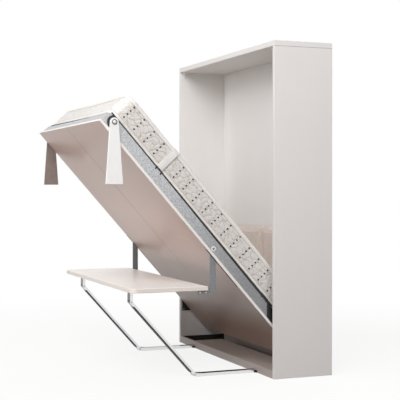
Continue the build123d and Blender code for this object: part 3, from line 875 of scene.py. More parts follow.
def circle(steps: int) -> np.ndarray:
    """Returns angles at even steps round a circle."""
    return np.arange(steps) * 2 * math.pi / steps


def level(points: np.ndarray, height: float | np.ndarray) -> np.ndarray:
    """Lifts flat points to a height."""
    return np.column_stack((points, np.broadcast_to(height, len(points))))


@dataclass
class SubAssembly:
    """A group of pieces that are built and dressed together."""

    effects: Effects
    finishes: ClassVar[dict[str, Finish]] = {}

    def dress(self) -> None:
        """Gives each of this group's solids its finish."""
        for node, finish in self.finishes.items():
            self.coat(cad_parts[node], finish)
            LOG.info("%s: %s", node, finish.name)

    def build(self) -> None:
        """Builds the pieces that the solids lack; a group without any builds none."""

    def coat(self, piece: bpy.types.Object, finish: Finish) -> None:
        """Gives a solid or a piece its finish's material, and no other."""
        piece.data.materials.clear()
        piece.data.materials.append(finish.material(self.effects))

    def settle(self, piece: bpy.types.Object, body: str, slot: str, finish: Finish) -> None:
        """Gives a piece its finish, rides it on its body, and reports it.

        Args:
            piece: the new piece.
            body: the body that carries it.
            slot: not used.
            finish: its finish.
        """
        self.coat(piece, finish)
        bpy.context.view_layer.update()
        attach(piece, body)
        LOG.info("%s: %d faces on %s", piece.name, len(piece.data.polygons), body)

    @staticmethod
    def bolt_ends(node: str) -> list[Seat]:
        """Finds the outer ends of a pair of bolts that lie across the bed.

        Args:
            node: the bolts' node.

        Returns:
            The middle of each end, and the way that it looks.
        """
        low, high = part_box(node)
        middle = ((low[1] + high[1]) / 2, (low[2] + high[2]) / 2)
        return [((x, *middle), (way, 0, 0)) for x, way in ((low[0], -1.0), (high[0], 1.0))]

    def fasteners(
        self, name: str, body: str, finish: Finish, slot: str, head: "Head", seats: Iterable[Seat],
    ) -> None:
        """Builds a set of equal fasteners as one piece.

        Args:
            name: the piece's name.
            body: the body that carries it.
            finish: its finish.
            slot: the record's material slot.
            head: the shape of one fastener.
            seats: where each one sits, and the way that it looks.
        """
        shell = Shell()
        for seat, way in seats:
            turn = Vector((0, 0, 1)).rotation_difference(Vector(way)).to_matrix()
            shell.tube([ring @ np.array(turn).T + np.array(seat) for ring in head.rings()])
        self.settle(shell.piece(name), body, slot, finish)


@dataclass(frozen=True)
class Head:
    """A domed head with a six-sided socket."""

    radius: float
    height: float
    socket: float
    steps: int = 24
    DOME: ClassVar[tuple[Pair, ...]] = (
        (1.0, 0.0), (1.0, 0.45), (0.93, 0.78), (0.8, 0.95), (0.7, 1.0),
    )
    SOCKET_RISES: ClassVar[tuple[float, ...]] = (0.97, 0.3)

    def rings(self) -> list[np.ndarray]:
        """Finds the head's rings.

        Returns:
            The rings from its seat, over the dome and into the socket.
        """
        angles = circle(self.steps)
        sixth = math.pi / 3
        hexagon = math.cos(sixth / 2) / np.cos((angles % sixth) - sixth / 2)
        made = []
        for share, rise in self.DOME:
            made.append(self._ring(angles, np.full(self.steps, share * self.radius), rise))
        for rise in self.SOCKET_RISES:
            made.append(self._ring(angles, self.socket * hexagon, rise))
        return made

    def _ring(self, angles: np.ndarray, reach: np.ndarray, rise: float) -> np.ndarray:
        """Places one ring at a share of the head's height."""
        flat = np.column_stack((np.cos(angles) * reach, np.sin(angles) * reach))
        return level(flat, rise * self.height)


WHITE_BOARD = Board(
    "cabinet_white", (233, 230, 228), 0.42, Run.UP, grain=0.004, cloud=0.006, pores=0.03,
)
WHITE_ACROSS = replace(WHITE_BOARD, name="cabinet_white_across", run=Run.ACROSS)
# The face's mauve tone is partly painted warm shade on a near-white laminate; the head colour is
# painted shade towards the bed's head, and the seam is painted shade along the leaves' join.
PANEL_BOARD = Board(
    "panel_mauve_shade", (219, 197, 188), 0.34, Run.ALONG_BED, grain=0.008, gloss=0.12, edge=(244, 241, 238),
    face=BED_UP, seam=0.006, specular=0.18, head=(176, 151, 140),
)
BASE_TAUPE = Board(
    "base_taupe", (176, 164, 157), 0.42, Run.ACROSS, grain=0.020, cloud=0.010, pores=0.08,
)
DESK_WOOD = Board(
    "desk_pale_wood", (246, 243, 240), 0.36, Run.ACROSS, grain=0.014, edge=(237, 229, 222), pores=0.15,
)
RAW_WOOD = Board("slat_wood", (204, 178, 142), 0.55, Run.ACROSS, grain=0.09, cloud=0.04, pores=0.5)
# The rail's colour darkens towards the bed's head as painted shade.
RAIL_GREY = Painted(
    "rail_grey", (180, 182, 185), 0.42, 0.009, 0.16, speck=0.35, metallic=0.25, peel=0.00015, head=0.78,
)
ARM_GREY = Painted(
    "arm_coat", (128, 130, 133), 0.42, 0.010, 0.08, speck=0.2, metallic=0.25, peel=0.00012,
)
BLACK_STEEL = Painted("steel_black", (30, 29, 29), 0.45, 0.03, 0.12, bare=(110, 108, 106))
# The inner colour is painted shade on the faces that look towards the middle of the bed.
LEG_WHITE = Painted(
    "leg_white", (243, 243, 243), 0.4, 0.05, 0.01, bare=(214, 211, 207), inner=(146, 134, 129),
)
# The chrome's dark tint on faces that don't look along X is a painted dark reflection.
CHROME = Plated("tube_chrome", (228, 228, 229), 0.12, smudge=0.08, dark_reflection=(92, 88, 86))
ZINC = Plated("bolt_zinc", (190, 192, 194), 0.30, (200.0, 200.0, 200.0))
DARK_WASHER = Painted("washer_dark", (72, 72, 74), 0.4, 0.004, 0.05, bare=(130, 130, 130))
WASHER = Painted("washer_white", (240, 239, 237), 0.4, 0.004, 0.02, bare=(200, 199, 197))
BRASS = Plated("bush_brass", (205, 172, 104), 0.30, (200.0, 200.0, 200.0))
BLACK_PLASTIC = Moulded("plastic_black", (24, 23, 23), 0.5)
JOINT_FILLER = Moulded("joint_filler", (150, 145, 141), 0.6)
# Dark rubber on the catches' plates; on the other pieces in this finish it is painted shade, and under
# the desk legs it is a painted dark reflection.
RUBBER_AND_SHADE = Moulded("dark_rubber_and_shade", (38, 34, 32), 0.6)
WHITE_PLASTIC = Moulded("plastic_white", (232, 230, 226), 0.45, haze=(200, 197, 192))
# The groove colours are painted shade in the stitched hollows of the quilting.
TICKING_BORDER = Cloth(
    "ticking_border", (232, 229, 226), 0.85, 0.0022, groove_shade=(201, 190, 181), roll=(243, 239, 235),
)
TICKING_TOP = Cloth("ticking_top", (246, 244, 241), 0.85, 0.0018, thread=0.02, groove_shade=(222, 217, 211))
PIPING = Cloth("piping", (240, 235, 228), 0.8, 0.0016, thread=0.04)
VENT_DARK = Cloth("vent_thread", (27, 20, 17), 0.7, 0.0012, thread=0.15)
LINEN = Cloth(
    "headboard_linen", (230, 214, 204), 0.9, 0.0026, 0.0007, thread=0.09, slub=0.35, sheen=0.25,
)
WEBBING = Cloth("strap_webbing", (245, 243, 240), 0.75, 0.0024, 0.0005, thread=0.05)


@dataclass
class Cabinet(SubAssembly):
    """The open cabinet: boards, wall rails, base, catches, hinge plates, screws, thin trim and dark
    sheets of painted shade.
    """

    plate_inset: float = 0.013
    trim_sheet: float = 0.0016
    trim_chamfer: float = 0.0006
    floor_gap: float = 0.001
    gap_shade_drop: float = 0.002
    back_shade_rise: float = 0.07
    catch_middle: Pair = (0.017, 0.007)
    eye_half: Pair = (0.007, 0.004)
    eye_out: float = 0.0012
    eye_sunk: float = 0.0004
    eye_chamfer: float = 0.0005
    joint_height: float = 0.0022
    joint_out: float = 0.0003
    joint_sunk: float = 0.0004
    joint_inset: float = 0.001
    joint_chamfer: float = 0.0002
    screw: Head = Head(0.0045, 0.0026, 0.002)
    finishes: ClassVar[dict[str, Finish]] = {
        "side_panel_left": WHITE_BOARD, "side_panel_right": WHITE_BOARD, "top_panel": WHITE_ACROSS,
        "back_panel": WHITE_BOARD, "plinth": BASE_TAUPE, "base_board": BASE_TAUPE,
        "base_bearers": BASE_TAUPE, "wall_rail_lower": RAW_WOOD, "wall_rail_upper": RAW_WOOD,
        "wall_screw_caps": WHITE_PLASTIC, "catches": WHITE_PLASTIC, "hinge_plate_left": BLACK_STEEL,
        "hinge_plate_right": BLACK_STEEL, "pivot_pins": ZINC,
    }

    def build(self) -> None:
        """Builds the hinge plates' screws, the cabinet's thin trim and its sheets of painted shade at
        the base.
        """
        seats = []
        for node, face, way in (("hinge_plate_left", 1, 1.0), ("hinge_plate_right", 0, -1.0)):
            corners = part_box(node)
            x = corners[face][0]
            ys = (corners[0][1] + self.plate_inset, corners[1][1] - self.plate_inset)
            zs = (corners[0][2] + self.plate_inset, corners[1][2] - self.plate_inset)
            seats += [((x, y, z), (way, 0, 0)) for y in ys for z in zs]
        self.fasteners("hinge_screws", "cabinet", ZINC, "zinc_steel", self.screw, seats)
        self._gap_shade()
        self._back_shade()
        self._catch_eyes()
        self._joints()

    def _gap_shade(self) -> None:
        """Builds a dark sheet on the left wall, where the base board stops short of it, as painted
        shade for the deep shade in that gap.
        """
        low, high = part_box("base_board")
        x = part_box("side_panel_left")[1][0]
        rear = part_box("back_panel")[0][1]
        end = (x + self.trim_sheet, rear, high[2] - self.gap_shade_drop)
        shell = Shell()
        shell.block((x, low[1], self.floor_gap), end, self.trim_chamfer)
        self.settle(shell.piece("base_gap_shade"), "cabinet", "black_plastic", RUBBER_AND_SHADE)

    def _back_shade(self) -> None:
        """Builds a taupe sheet behind the base board, at the foot of the back panel, as painted shade
        for the dark gap there.
        """
        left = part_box("side_panel_left")[1][0] + self.trim_sheet
        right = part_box("side_panel_right")[0][0]
        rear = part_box("back_panel")[0][1]
        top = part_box("base_board")[1][2] + self.back_shade_rise
        start = (left, rear - self.trim_sheet, self.floor_gap)
        shell = Shell()
        shell.block(start, (right, rear, top), self.trim_chamfer)
        self.settle(shell.piece("base_back_shade"), "cabinet", "white_laminate", BASE_TAUPE)

    def _catch_eyes(self) -> None:
        """Builds the dark plates on the catches' fronts."""
        low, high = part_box("catches")
        half_x, half_z = self.eye_half
        shell = Shell()
        for way in (-1.0, 1.0):
            x, z = way * (high[0] - self.catch_middle[0]), high[2] - self.catch_middle[1]
            start = (x - half_x, low[1] - self.eye_out, z - half_z)
            end = (x + half_x, low[1] + self.eye_sunk, z + half_z)
            shell.block(start, end, self.eye_chamfer)
        self.settle(shell.piece("catch_eyes"), "cabinet", "black_plastic", RUBBER_AND_SHADE)

    def _joints(self) -> None:
        """Builds the thin filled joints between the top panel and the sides."""
        shell = Shell()
        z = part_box("top_panel")[0][2]
        for side, face, way in (("left", 0, -1.0), ("right", 1, 1.0)):
            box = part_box(f"side_panel_{side}")
            x, half = box[face][0], self.joint_height / 2
            ends = sorted((x - way * self.joint_sunk, x + way * self.joint_out))
            start = (ends[0], box[0][1] + self.joint_inset, z - half)
            end = (ends[1], box[1][1] - self.joint_inset, z + half)
            shell.block(start, end, self.joint_chamfer)
        self.settle(shell.piece("top_joints"), "cabinet", "white_laminate", JOINT_FILLER)


@dataclass
class Headboard(SubAssembly):
    """Two padded cushions on the cabinet's back, swelled from a tighter block."""

    voxel: float = 0.008
    start_inset: float = 0.004
    pressure: float = 0.8
    most: float = 0.0035
    bulge: float = 0.004
    frames: int = 20
    corner: float = 0.018
    draw: float = 0.006
    crown: float = 0.06
    held_depth: float = 0.012
    steps: int = 160
    PROFILE: ClassVar[tuple[Pair, ...]] = (
        (0.004, 0.0), (0.0, 0.12), (0.0, 0.5), (0.004, 0.68), (0.014, 0.82), (0.028, 0.9),
    )
    FRONT_SHARES: ClassVar[tuple[float, ...]] = (0.8, 0.55, 0.3, 0.08)

    def build(self) -> None:
        """Builds both cushions and swells them."""
        for side in ("left", "right"):
            node = f"headboard_cushion_{side}"
            low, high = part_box(node)
            piece = self._block(f"cushion_{side}", Vector(low), Vector(high))
            self._swell(piece, np.array(low), np.array(high))
            self.settle(piece, "cabinet", "linen", LINEN)
            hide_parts(node)

    def _block(self, name: str, low: Vector, high: Vector) -> bpy.types.Object:
        """Builds a crowned block that is flat at the back.

        Args:
            name: the piece's name.
            low: the lowest corner of the room for it.
            high: the highest corner.

        Returns:
            The block.
        """
        middle, half = (low + high) / 2, (high - low) / 2
        inset = self.start_inset
        outline = Outline(half.x - inset, half.z - inset, self.corner, self.draw, self.steps)
        points, normals, _ = outline.walk()
        depth = high.y - low.y
        rings = [level(points - normals * cut, share * depth) for cut, share in self.PROFILE]
        last, rim = rings[-1], self.PROFILE[-1][1]
        for share in self.FRONT_SHARES:
            rings.append(level(last[:, :2] * share, depth * (rim + self.crown * (1 - share))))
        shell = Shell()
        shell.tube([np.column_stack((r[:, 0], high.y - r[:, 2], r[:, 1])) for r in rings])
        piece = shell.piece(name, None, 180)
        piece.data.transform(Matrix.Translation((middle.x, 0, middle.z)))
        return piece

    def _swell(self, piece: bpy.types.Object, low: np.ndarray, high: np.ndarray) -> None:
        """Remeshes a cushion, swells it by air pressure, and keeps it flat against its neighbours.

        Args:
            piece: the cushion's block, which gets the new mesh.
            low: the lowest corner of the room for it.
            high: the highest corner, with the Y of the board behind it.
        """
        remesh = piece.modifiers.new("even", "REMESH")
        remesh.mode = "VOXEL"
        remesh.voxel_size = self.voxel
        self._apply(piece)
        start = self._points(piece)
        held = piece.vertex_groups.new(name="held")
        at_back = [i for i, p in enumerate(start) if p[1] > high[1] - self.held_depth]
        held.add(at_back, 1.0, "REPLACE")
        cloth = piece.modifiers.new("swell", "CLOTH")
        cloth.settings.use_pressure = True
        cloth.settings.uniform_pressure_force = self.pressure
        cloth.settings.effector_weights.gravity = 0
        cloth.settings.vertex_group_mass = "held"
        cloth.point_cache.frame_start = 1
        cloth.point_cache.frame_end = self.frames
        for step in range(1, self.frames + 1):
            bpy.context.scene.frame_set(step)
        self._apply(piece)
        bpy.context.scene.frame_set(1)
        moved = self._points(piece) - start
        far = np.linalg.norm(moved, axis=1, keepdims=True)
        moved *= np.minimum(1, self.most / np.maximum(far, 1e-9))
        points = np.clip(start + moved, low - (0, self.bulge, 0), high)
        piece.data.vertices.foreach_set("co", points.ravel())
        finer = piece.modifiers.new("finer", "SUBSURF")
        finer.levels = finer.render_levels = 1
        self._apply(piece)
        piece.vertex_groups.clear()
        piece.data.shade_smooth()

    @staticmethod
    def _points(piece: bpy.types.Object) -> np.ndarray:
        """Reads the mesh's points.

        Args:
            piece: the piece with the mesh.

        Returns:
            The points, a row each.
        """
        points = np.empty(len(piece.data.vertices) * 3)
        piece.data.vertices.foreach_get("co", points)
        return points.reshape(-1, 3)

    @staticmethod
    def _apply(piece: bpy.types.Object) -> None:
        """Puts the modifiers' result in place of the mesh.

        Args:
            piece: the piece with the modifiers, which are then gone.
        """
        graph = bpy.context.evaluated_depsgraph_get()
        mesh = bpy.data.meshes.new_from_object(piece.evaluated_get(graph))
        piece.modifiers.clear()
        piece.data = mesh


@dataclass
class Mattress(SubAssembly):
    """Mattress with a quilted border, a rolled top, piping, vent rows and a strap."""

    half_x: float = 0.750
    foot_y: float = -1.716
    head_y: float = 0.184
    base_z: float = 0.057
    corner: float = 0.070
    draw: float = 0.004
    steps: int = 1800
    cell_long: float = 0.046
    cell_high: float = 0.026
    cell_jitter: float = 0.38
    cell_stretch: float = 1.15
    stitch_share: float = 0.36
    quilt_depth: float = 0.0034
    end_flatness: float = 0.55
    border_low: float = 0.0315
    border_high: float = 0.147
    border_rows: int = 35
    seam_sunk: float = 0.002
    crown: float = 0.178
    crown_fall: float = 0.0045
    top_rows: int = 56
    diamond: float = 0.17
    puff_depth: float = 0.0035
    pucker: float = 0.0007
    pucker_pitch: float = 0.019
    pucker_rise: float = 0.02
    piping_radius: float = 0.0035
    piping_sunk: float = 0.0015
    piping_steps: int = 10
    vent_first_s: float = 1.633
    vent_pitch: float = 0.0972
    vent_levels: tuple[float, ...] = (0.105, 0.134, 0.163, 0.193)
    vent_radius: float = 0.0057
    vent_steps: int = 12
    vent_end: float = 0.06
    strap_s: float = 1.251
    strap_width: float = 0.047
    strap_sheet: float = 0.0016
    strap_gap: float = 0.0002
    strap_bevel: float = 0.0012
    strap_crown: float = 0.004
    seed: int = 7
    # Waves round the border that bend its cells, and their size
    WAVES: ClassVar[tuple[tuple[int, float], ...]] = ((60, 0.009), (113, 0.006), (171, 0.004))
    # Profiles as (how far in from the outline, height): the lower roll, its seam and the upper roll
    UNDER: ClassVar[tuple[Pair, ...]] = (
        (0.010, 0.0), (0.004, 0.0012), (0.001, 0.004), (-0.0006, 0.009), (-0.0012, 0.015),
        (-0.0008, 0.021), (0.0012, 0.0255), (0.0034, 0.0285),
    )
    ROLL: ClassVar[tuple[Pair, ...]] = (
        (0.004, 0.0), (0.0008, 0.004), (-0.0008, 0.009), (-0.0002, 0.014), (0.003, 0.0195),
        (0.008, 0.0235), (0.014, 0.0258), (0.022, 0.0265),
    )
    # A vent as (share of its radius, how far out)
    VENT: ClassVar[tuple[Pair, ...]] = (
        (1.0, -0.004), (1.0, 0.0013), (0.7, 0.0023), (0.25, 0.0018),
    )
    # The strap's path as (out from the mattress's side, height), and as (X, height) on the top
    STRAP_SIDE: ClassVar[tuple[Pair, ...]] = (
        (0.006, 0.004), (0.0045, 0.02), (0.003, 0.06), (0.003, 0.12), (0.0025, 0.150), (0.002, 0.160),
        (-0.001, 0.167), (-0.007, 0.1725), (-0.016, 0.1755), (-0.05, 0.1775), (-0.2, 0.1795),
    )
    STRAP_TOP: ClassVar[tuple[Pair, ...]] = ((0.25, 0.1800), (0.0, 0.1802))

    @property
    def half_y(self) -> float:
        """Returns half of the mattress's length."""
        return (self.head_y - self.foot_y) / 2

    @property
    def middle_y(self) -> float:
        """Returns where the mattress's middle is along the bed."""
        return (self.head_y + self.foot_y) / 2

    def build(self) -> None:
        """Builds the mattress, its trim and its strap, all in the bed's frame."""
        self.place = BED @ Matrix.Translation((0, self.middle_y, self.base_z))
        outline = Outline(self.half_x, self.half_y, self.corner, self.draw, self.steps)
        self.points, self.normals, self.walked = outline.walk()
        body = self._body()
        top = self._top()
        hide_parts("mattress")
        self._piping()
        self._vents()
        self._strap(body, top)

    def _quilting(self, heights: np.ndarray) -> np.ndarray:
        """Finds the stitched relief of the border.

        Args:
            heights: the heights of the border's rows.

        Returns:
            A value from 0 in the stitched lines to 1 on the cells, for each row and step.
        """
        draw = np.random.default_rng(self.seed)
        total = self.walked[-1] + self.walked[1]
        span = self.border_high - self.border_low
        across, up = round(total / self.cell_long), round(span / self.cell_high)
        cells = np.meshgrid(np.arange(across), np.arange(up), indexing="ij")
        grid = np.stack(cells, -1).reshape(-1, 2) + 0.5
        grid[:, 0] += 0.5 * (np.floor(grid[:, 1]) % 2)
        jitter = draw.uniform(-self.cell_jitter, self.cell_jitter, grid.shape)
        seeds = (grid + jitter) * (total / across, span / up)
        around, rise = np.meshgrid(self.walked, heights - self.border_low)
        turn = 2 * math.pi / total
        for waves, size in self.WAVES:
            shift = draw.uniform(0, 6.28, 4)
            phase = waves * turn * around
            sideways = np.sin(phase + 40 * rise + shift[0]) * np.cos(60 * rise + shift[1])
            upwards = np.sin(phase + shift[2]) * np.cos(35 * rise + shift[3])
            around, rise = around + size * sideways, rise + size * upwards
        stretch = self.cell_high / self.cell_long * self.cell_stretch
        nearest = np.full(around.shape, np.inf)
        second = nearest.copy()
        for x, z in seeds:
            off = np.abs(around - x)
            away = np.hypot(np.minimum(off, np.abs(total - off)) * stretch, rise - z)
            second = np.minimum(second, np.maximum(nearest, away))
            nearest = np.minimum(nearest, away)
        gap = np.clip((second - nearest) / (self.stitch_share * self.cell_high), 0, 1)
        bent = rise * 640 + 5 * np.sin(around * 23 + 40 * rise)
        creases = np.sin(bent) * np.sin(around * 61 + 90 * rise)
        return np.clip(gap * (2 - gap) * (0.84 + 0.26 * creases), 0, 1)

    def _body(self) -> bpy.types.Object:
        """Builds the border and underside as one closed form.

        Returns:
            The border.
        """
        flat = self.points
        rings = [level(flat * share, 0.0) for share in (0.05, 0.5, 0.9)]
        rings += [level(flat - self.normals * cut, height) for cut, height in self.UNDER]
        relief = [np.full(self.steps, 1.5)] * (len(rings) - 1) + [np.full(self.steps, 0.2)]
        heights = np.linspace(self.border_low, self.border_high, self.border_rows)
        quilt = self._quilting(heights)
        quilt = 1 - (1 - quilt) * (1 - self.end_flatness * np.abs(self.normals[:, 1]))
        for height, row in zip(heights, quilt):
            share = (height - self.border_low) / (self.border_high - self.border_low)
            ends = min(1.0, 8 * share, 8 * (1 - share))
            swell = (row * ends - 0.7) * self.quilt_depth - self.seam_sunk * (1 - ends)
            rings.append(level(flat + self.normals * swell[:, None], height))
            relief.append(row * min(1.0, 0.4 + ends))
        rings += [level(flat * share, self.border_high) for share in (0.96, 0.05)]
        relief += [np.ones(self.steps)] * 2
        return self._soft("mattress_body", rings, relief, TICKING_BORDER)

    def _top(self) -> bpy.types.Object:
        """Builds the rolled edge and the quilted top as one closed form.

        Returns:
            The top.
        """
        every = slice(None, None, 2)
        flat, normals = self.points[every], self.normals[every]
        seam = self.border_high
        rings = [level(flat * share, seam) for share in (0.05, 0.96)]
        pucker = self.pucker * np.sin(self.walked[every] * 2 * math.pi / self.pucker_pitch)
        for cut, rise in self.ROLL:
            ring = flat - normals * (cut + pucker * (rise < self.pucker_rise))[:, None]
            rings.append(level(ring, seam + rise))
        relief = [np.ones(len(flat))] * len(rings)
        last = rings[-1][:, :2]
        for share in np.linspace(0.97, 0.02, self.top_rows):
            ring = last * share
            slants = [math.pi * (ring[:, 0] + way * ring[:, 1]) / self.diamond for way in (1, -1)]
            crossing = np.abs(np.sin(slants[0]) * np.sin(slants[1]))
            rise = self.crown - self.crown_fall * share ** 6
            puff = np.sqrt(np.clip(crossing, 0, 1)) * min(1.0, (1 - share) * 8)
            rings.append(level(ring, rise - self.puff_depth * (1 - puff)))
            relief.append(0.3 + 0.7 * np.clip(1.6 * puff, 0, 1) if share < 0.9 else np.ones(len(flat)))
        return self._soft("mattress_top", rings, relief, TICKING_TOP)

    def _soft(
        self, name: str, rings: list[np.ndarray], relief: list[np.ndarray], finish: Cloth,
    ) -> bpy.types.Object:
        """Makes one padded piece and stores its relief for the finish.

        Args:
            name: the piece's name.
            rings: its rings.
            relief: the relief of each ring's points.
            finish: its cloth.

        Returns:
            The piece.
        """
        shell = Shell()
        shell.tube(rings)
        piece = shell.piece(name, self.place, 180)
        # The cloth's finish paints shade where this relief is low.
        stored = piece.data.attributes.new("relief", "FLOAT", "POINT")
        stored.data.foreach_set("value", np.concatenate(relief).astype(np.float32))
        self.settle(piece, "bed", "ticking", finish)
        return piece

    def _piping(self) -> None:
        """Builds the piped seam between border and top."""
        shell = Shell()
        flat, normals = self.points[::3], self.normals[::3]
        angles = circle(self.piping_steps)
        rings = []
        for point, normal in zip(flat, normals):
            out = self.piping_radius * np.cos(angles) - self.piping_sunk
            ring = point + normal * out[:, None]
            rings.append(level(ring, self.border_high + self.piping_radius * np.sin(angles)))
        shell.tube(rings, closed=True)
        piece = shell.piece("mattress_piping", self.place, 180)
        self.settle(piece, "bed", "ticking", PIPING)

    def _vents(self) -> None:
        """Builds the rows of dark stitched vents along both sides."""
        shell = Shell()
        rows = []
        count = int((self.vent_first_s + self.head_y - self.vent_end) / self.vent_pitch) + 1
        for index in range(count):
            y = self.vent_pitch * index - self.vent_first_s - self.middle_y
            rows += [((self.half_x, y), (1, 0)), ((-self.half_x, y), (-1, 0))]
        angles = circle(self.vent_steps)
        for (x, y), normal in rows:
            pull = self.draw * max(0.0, 1 - (y / (self.half_y - self.corner)) ** 2)
            for height in self.vent_levels:
                rings = []
                for share, out in self.VENT:
                    along = share * self.vent_radius * np.cos(angles)
                    rise = height - self.base_z + share * self.vent_radius * np.sin(angles)
                    px = x + normal[0] * (out - pull) - normal[1] * along
                    py = y + normal[1] * (out - pull) + normal[0] * along
                    rings.append(np.column_stack((px, py, rise)))
                shell.tube(rings)
        piece = shell.piece("mattress_vents", self.place, 60)
        self.settle(piece, "bed", "ticking", VENT_DARK)

    def _strap(self, body: bpy.types.Object, top: bpy.types.Object) -> None:
        """Builds the webbing strap over the mattress, from clip to clip.

        Args:
            body: the mattress's border, which it lies against.
            top: the mattress's top, which it lies on.
        """
        x = self.half_x + self.strap_gap
        path = [(x + out, height) for out, height in self.STRAP_SIDE] + list(self.STRAP_TOP)
        path += [(-px, pz) for px, pz in reversed(path[:-1])]
        line = np.array(path)
        way = np.gradient(line, axis=0)
        way /= np.linalg.norm(way, axis=1, keepdims=True)
        out = np.column_stack((way[:, 1], -way[:, 0]))
        y = -self.strap_s - self.middle_y
        half, sheet = self.strap_width / 2, self.strap_sheet
        lean, flat = half - self.strap_bevel, half - self.strap_crown
        across = [(-half, 0.25), (-lean, 0.0), (lean, 0.0), (half, 0.25), (half, 0.75)]
        across += [(lean, 1.0), (flat, 1.25), (-flat, 1.25), (-lean, 1.0), (-half, 0.75)]
        rings = []
        for (px, pz), (ox, oz) in zip(line, out):
            ring = [(px + ox * sheet * o, y + a, pz + oz * sheet * o) for a, o in across]
            rings.append(np.array(ring))
        shell = Shell()
        shell.tube(rings)
        piece = shell.piece("strap", self.place, 50)
        self.settle(piece, "bed", "webbing", WEBBING)
        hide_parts("mattress_strap")


@dataclass
class BedFrame(SubAssembly):
    """The turning frame: panel leaves, rails, slats, clips, pivot plates, dark trim and dark sheets of
    painted shade.
    """

    slot_inner: float = 0.770
    slot_y: Pair = (-0.6735, -0.3465)
    panel_z: Pair = (-0.0398, -0.0225)
    gap_shade_sheet: float = 0.0014
    gap_shade_chamfer: float = 0.0004
    lip_shade_x: Pair = (0.7900, 0.7949)
    lip_shade_y: Pair = (-0.702, -0.575)
    lip_shade_gap: float = 0.0002
    lip_shade_sheet: float = 0.0012
    rail_x: float = 0.790
    rail_top: float = 0.048
    edge_y: Pair = (-1.205, -0.100)
    edge_drop: Pair = (0.0005, 0.0090)
    edge_sheet: float = 0.0011
    edge_sunk: float = 0.0004
    edge_rise: float = 0.0085
    edge_bevel: Pair = (0.0003, 0.0004)
    edge_rows: int = 13
    shade_wedge_x: Pair = (-0.735, 0.300)
    shade_wedge_y: Pair = (-1.7135, -1.690)
    shade_wedge_z: float = 0.0457
    shade_wedge_high: float = 0.0108
    shade_wedge_taper: float = 0.85
    shade_wedge_rows: int = 9
    finishes: ClassVar[dict[str, Finish]] = {
        "front_panel_left": PANEL_BOARD, "front_panel_right": PANEL_BOARD, "side_rail_left": RAIL_GREY,
        "side_rail_right": RAIL_GREY, "head_rail": RAIL_GREY, "foot_rail": RAIL_GREY,
        "cross_bars": RAIL_GREY, "centre_beam": RAIL_GREY, "slat_holders": BLACK_PLASTIC,
        "bed_slats": RAW_WOOD, "strap_clips": BLACK_PLASTIC, "pivot_plate_left": BLACK_STEEL,
        "pivot_plate_right": BLACK_STEEL, "pivot_bushes": BRASS,
    }

    def build(self) -> None:
        """Builds the dark sheets of painted shade in the slots and under the panel's edge, the rails'
        upper edges, and the dark wedge of painted shade in the gap at the foot.
        """
        shell = Shell()
        # Painted shade: dark sheets in the slots and just under the panel's edge by the arms.
        gap_shade = (self.slot_inner, self.slot_inner + self.gap_shade_sheet), self.slot_y, self.panel_z
        under = self.panel_z[0] - self.lip_shade_gap
        lip = self.lip_shade_x, self.lip_shade_y, (under - self.lip_shade_sheet, under)
        for xs, ys, zs in (gap_shade, lip):
            for x0, x1 in (xs, (-xs[1], -xs[0])):
                shell.block((x0, ys[0], zs[0]), (x1, ys[1], zs[1]), self.gap_shade_chamfer)
        self.settle(shell.piece("slot_gap_shades", BED), "bed", "black_plastic", RUBBER_AND_SHADE)
        self._edges()
        self._shade_wedge()

    def _edges(self) -> None:
        """Builds the black edge strips on the rails, which widen towards the head."""
        shell = Shell()
        x0, x1 = self.rail_x - self.edge_sunk, self.rail_x + self.edge_sheet
        z1 = self.rail_top + self.edge_rise
        cut_x, cut_z = self.edge_bevel
        for side in (1.0, -1.0):
            rings = []
            for share in np.linspace(0, 1, self.edge_rows):
                y = self.edge_y[0] + (self.edge_y[1] - self.edge_y[0]) * share
                z0 = self.rail_top - self.edge_drop[0] - (self.edge_drop[1] - self.edge_drop[0]) * share
                ring = [(x0, y, z0), (x1 - cut_x, y, z0), (x1, y, z0 + cut_z), (x1, y, z1), (x0, y, z1)]
                rings.append(np.array(ring) * (side, 1, 1))
            shell.tube(rings if side < 0 else rings[::-1])
        self.settle(shell.piece("rail_edges", BED), "bed", "black_plastic", BLACK_PLASTIC)

    def _shade_wedge(self) -> None:
        """Builds the dark wedge between the foot rail and the mattress, painted shade for the gap
        there.
        """
        (y0, y1), low = self.shade_wedge_y, self.shade_wedge_z
        rings = []
        for share in np.linspace(0, 1, self.shade_wedge_rows):
            x = self.shade_wedge_x[0] + (self.shade_wedge_x[1] - self.shade_wedge_x[0]) * share
            high = low + self.shade_wedge_high * (1 - self.shade_wedge_taper * share)
            rings.append(np.array([(x, y0, low), (x, y1, low), (x, y1, high), (x, y0, high)]))
        shell = Shell()
        shell.tube(rings)
        self.settle(shell.piece("foot_shade_wedge", BED), "bed", "black_plastic", RUBBER_AND_SHADE)


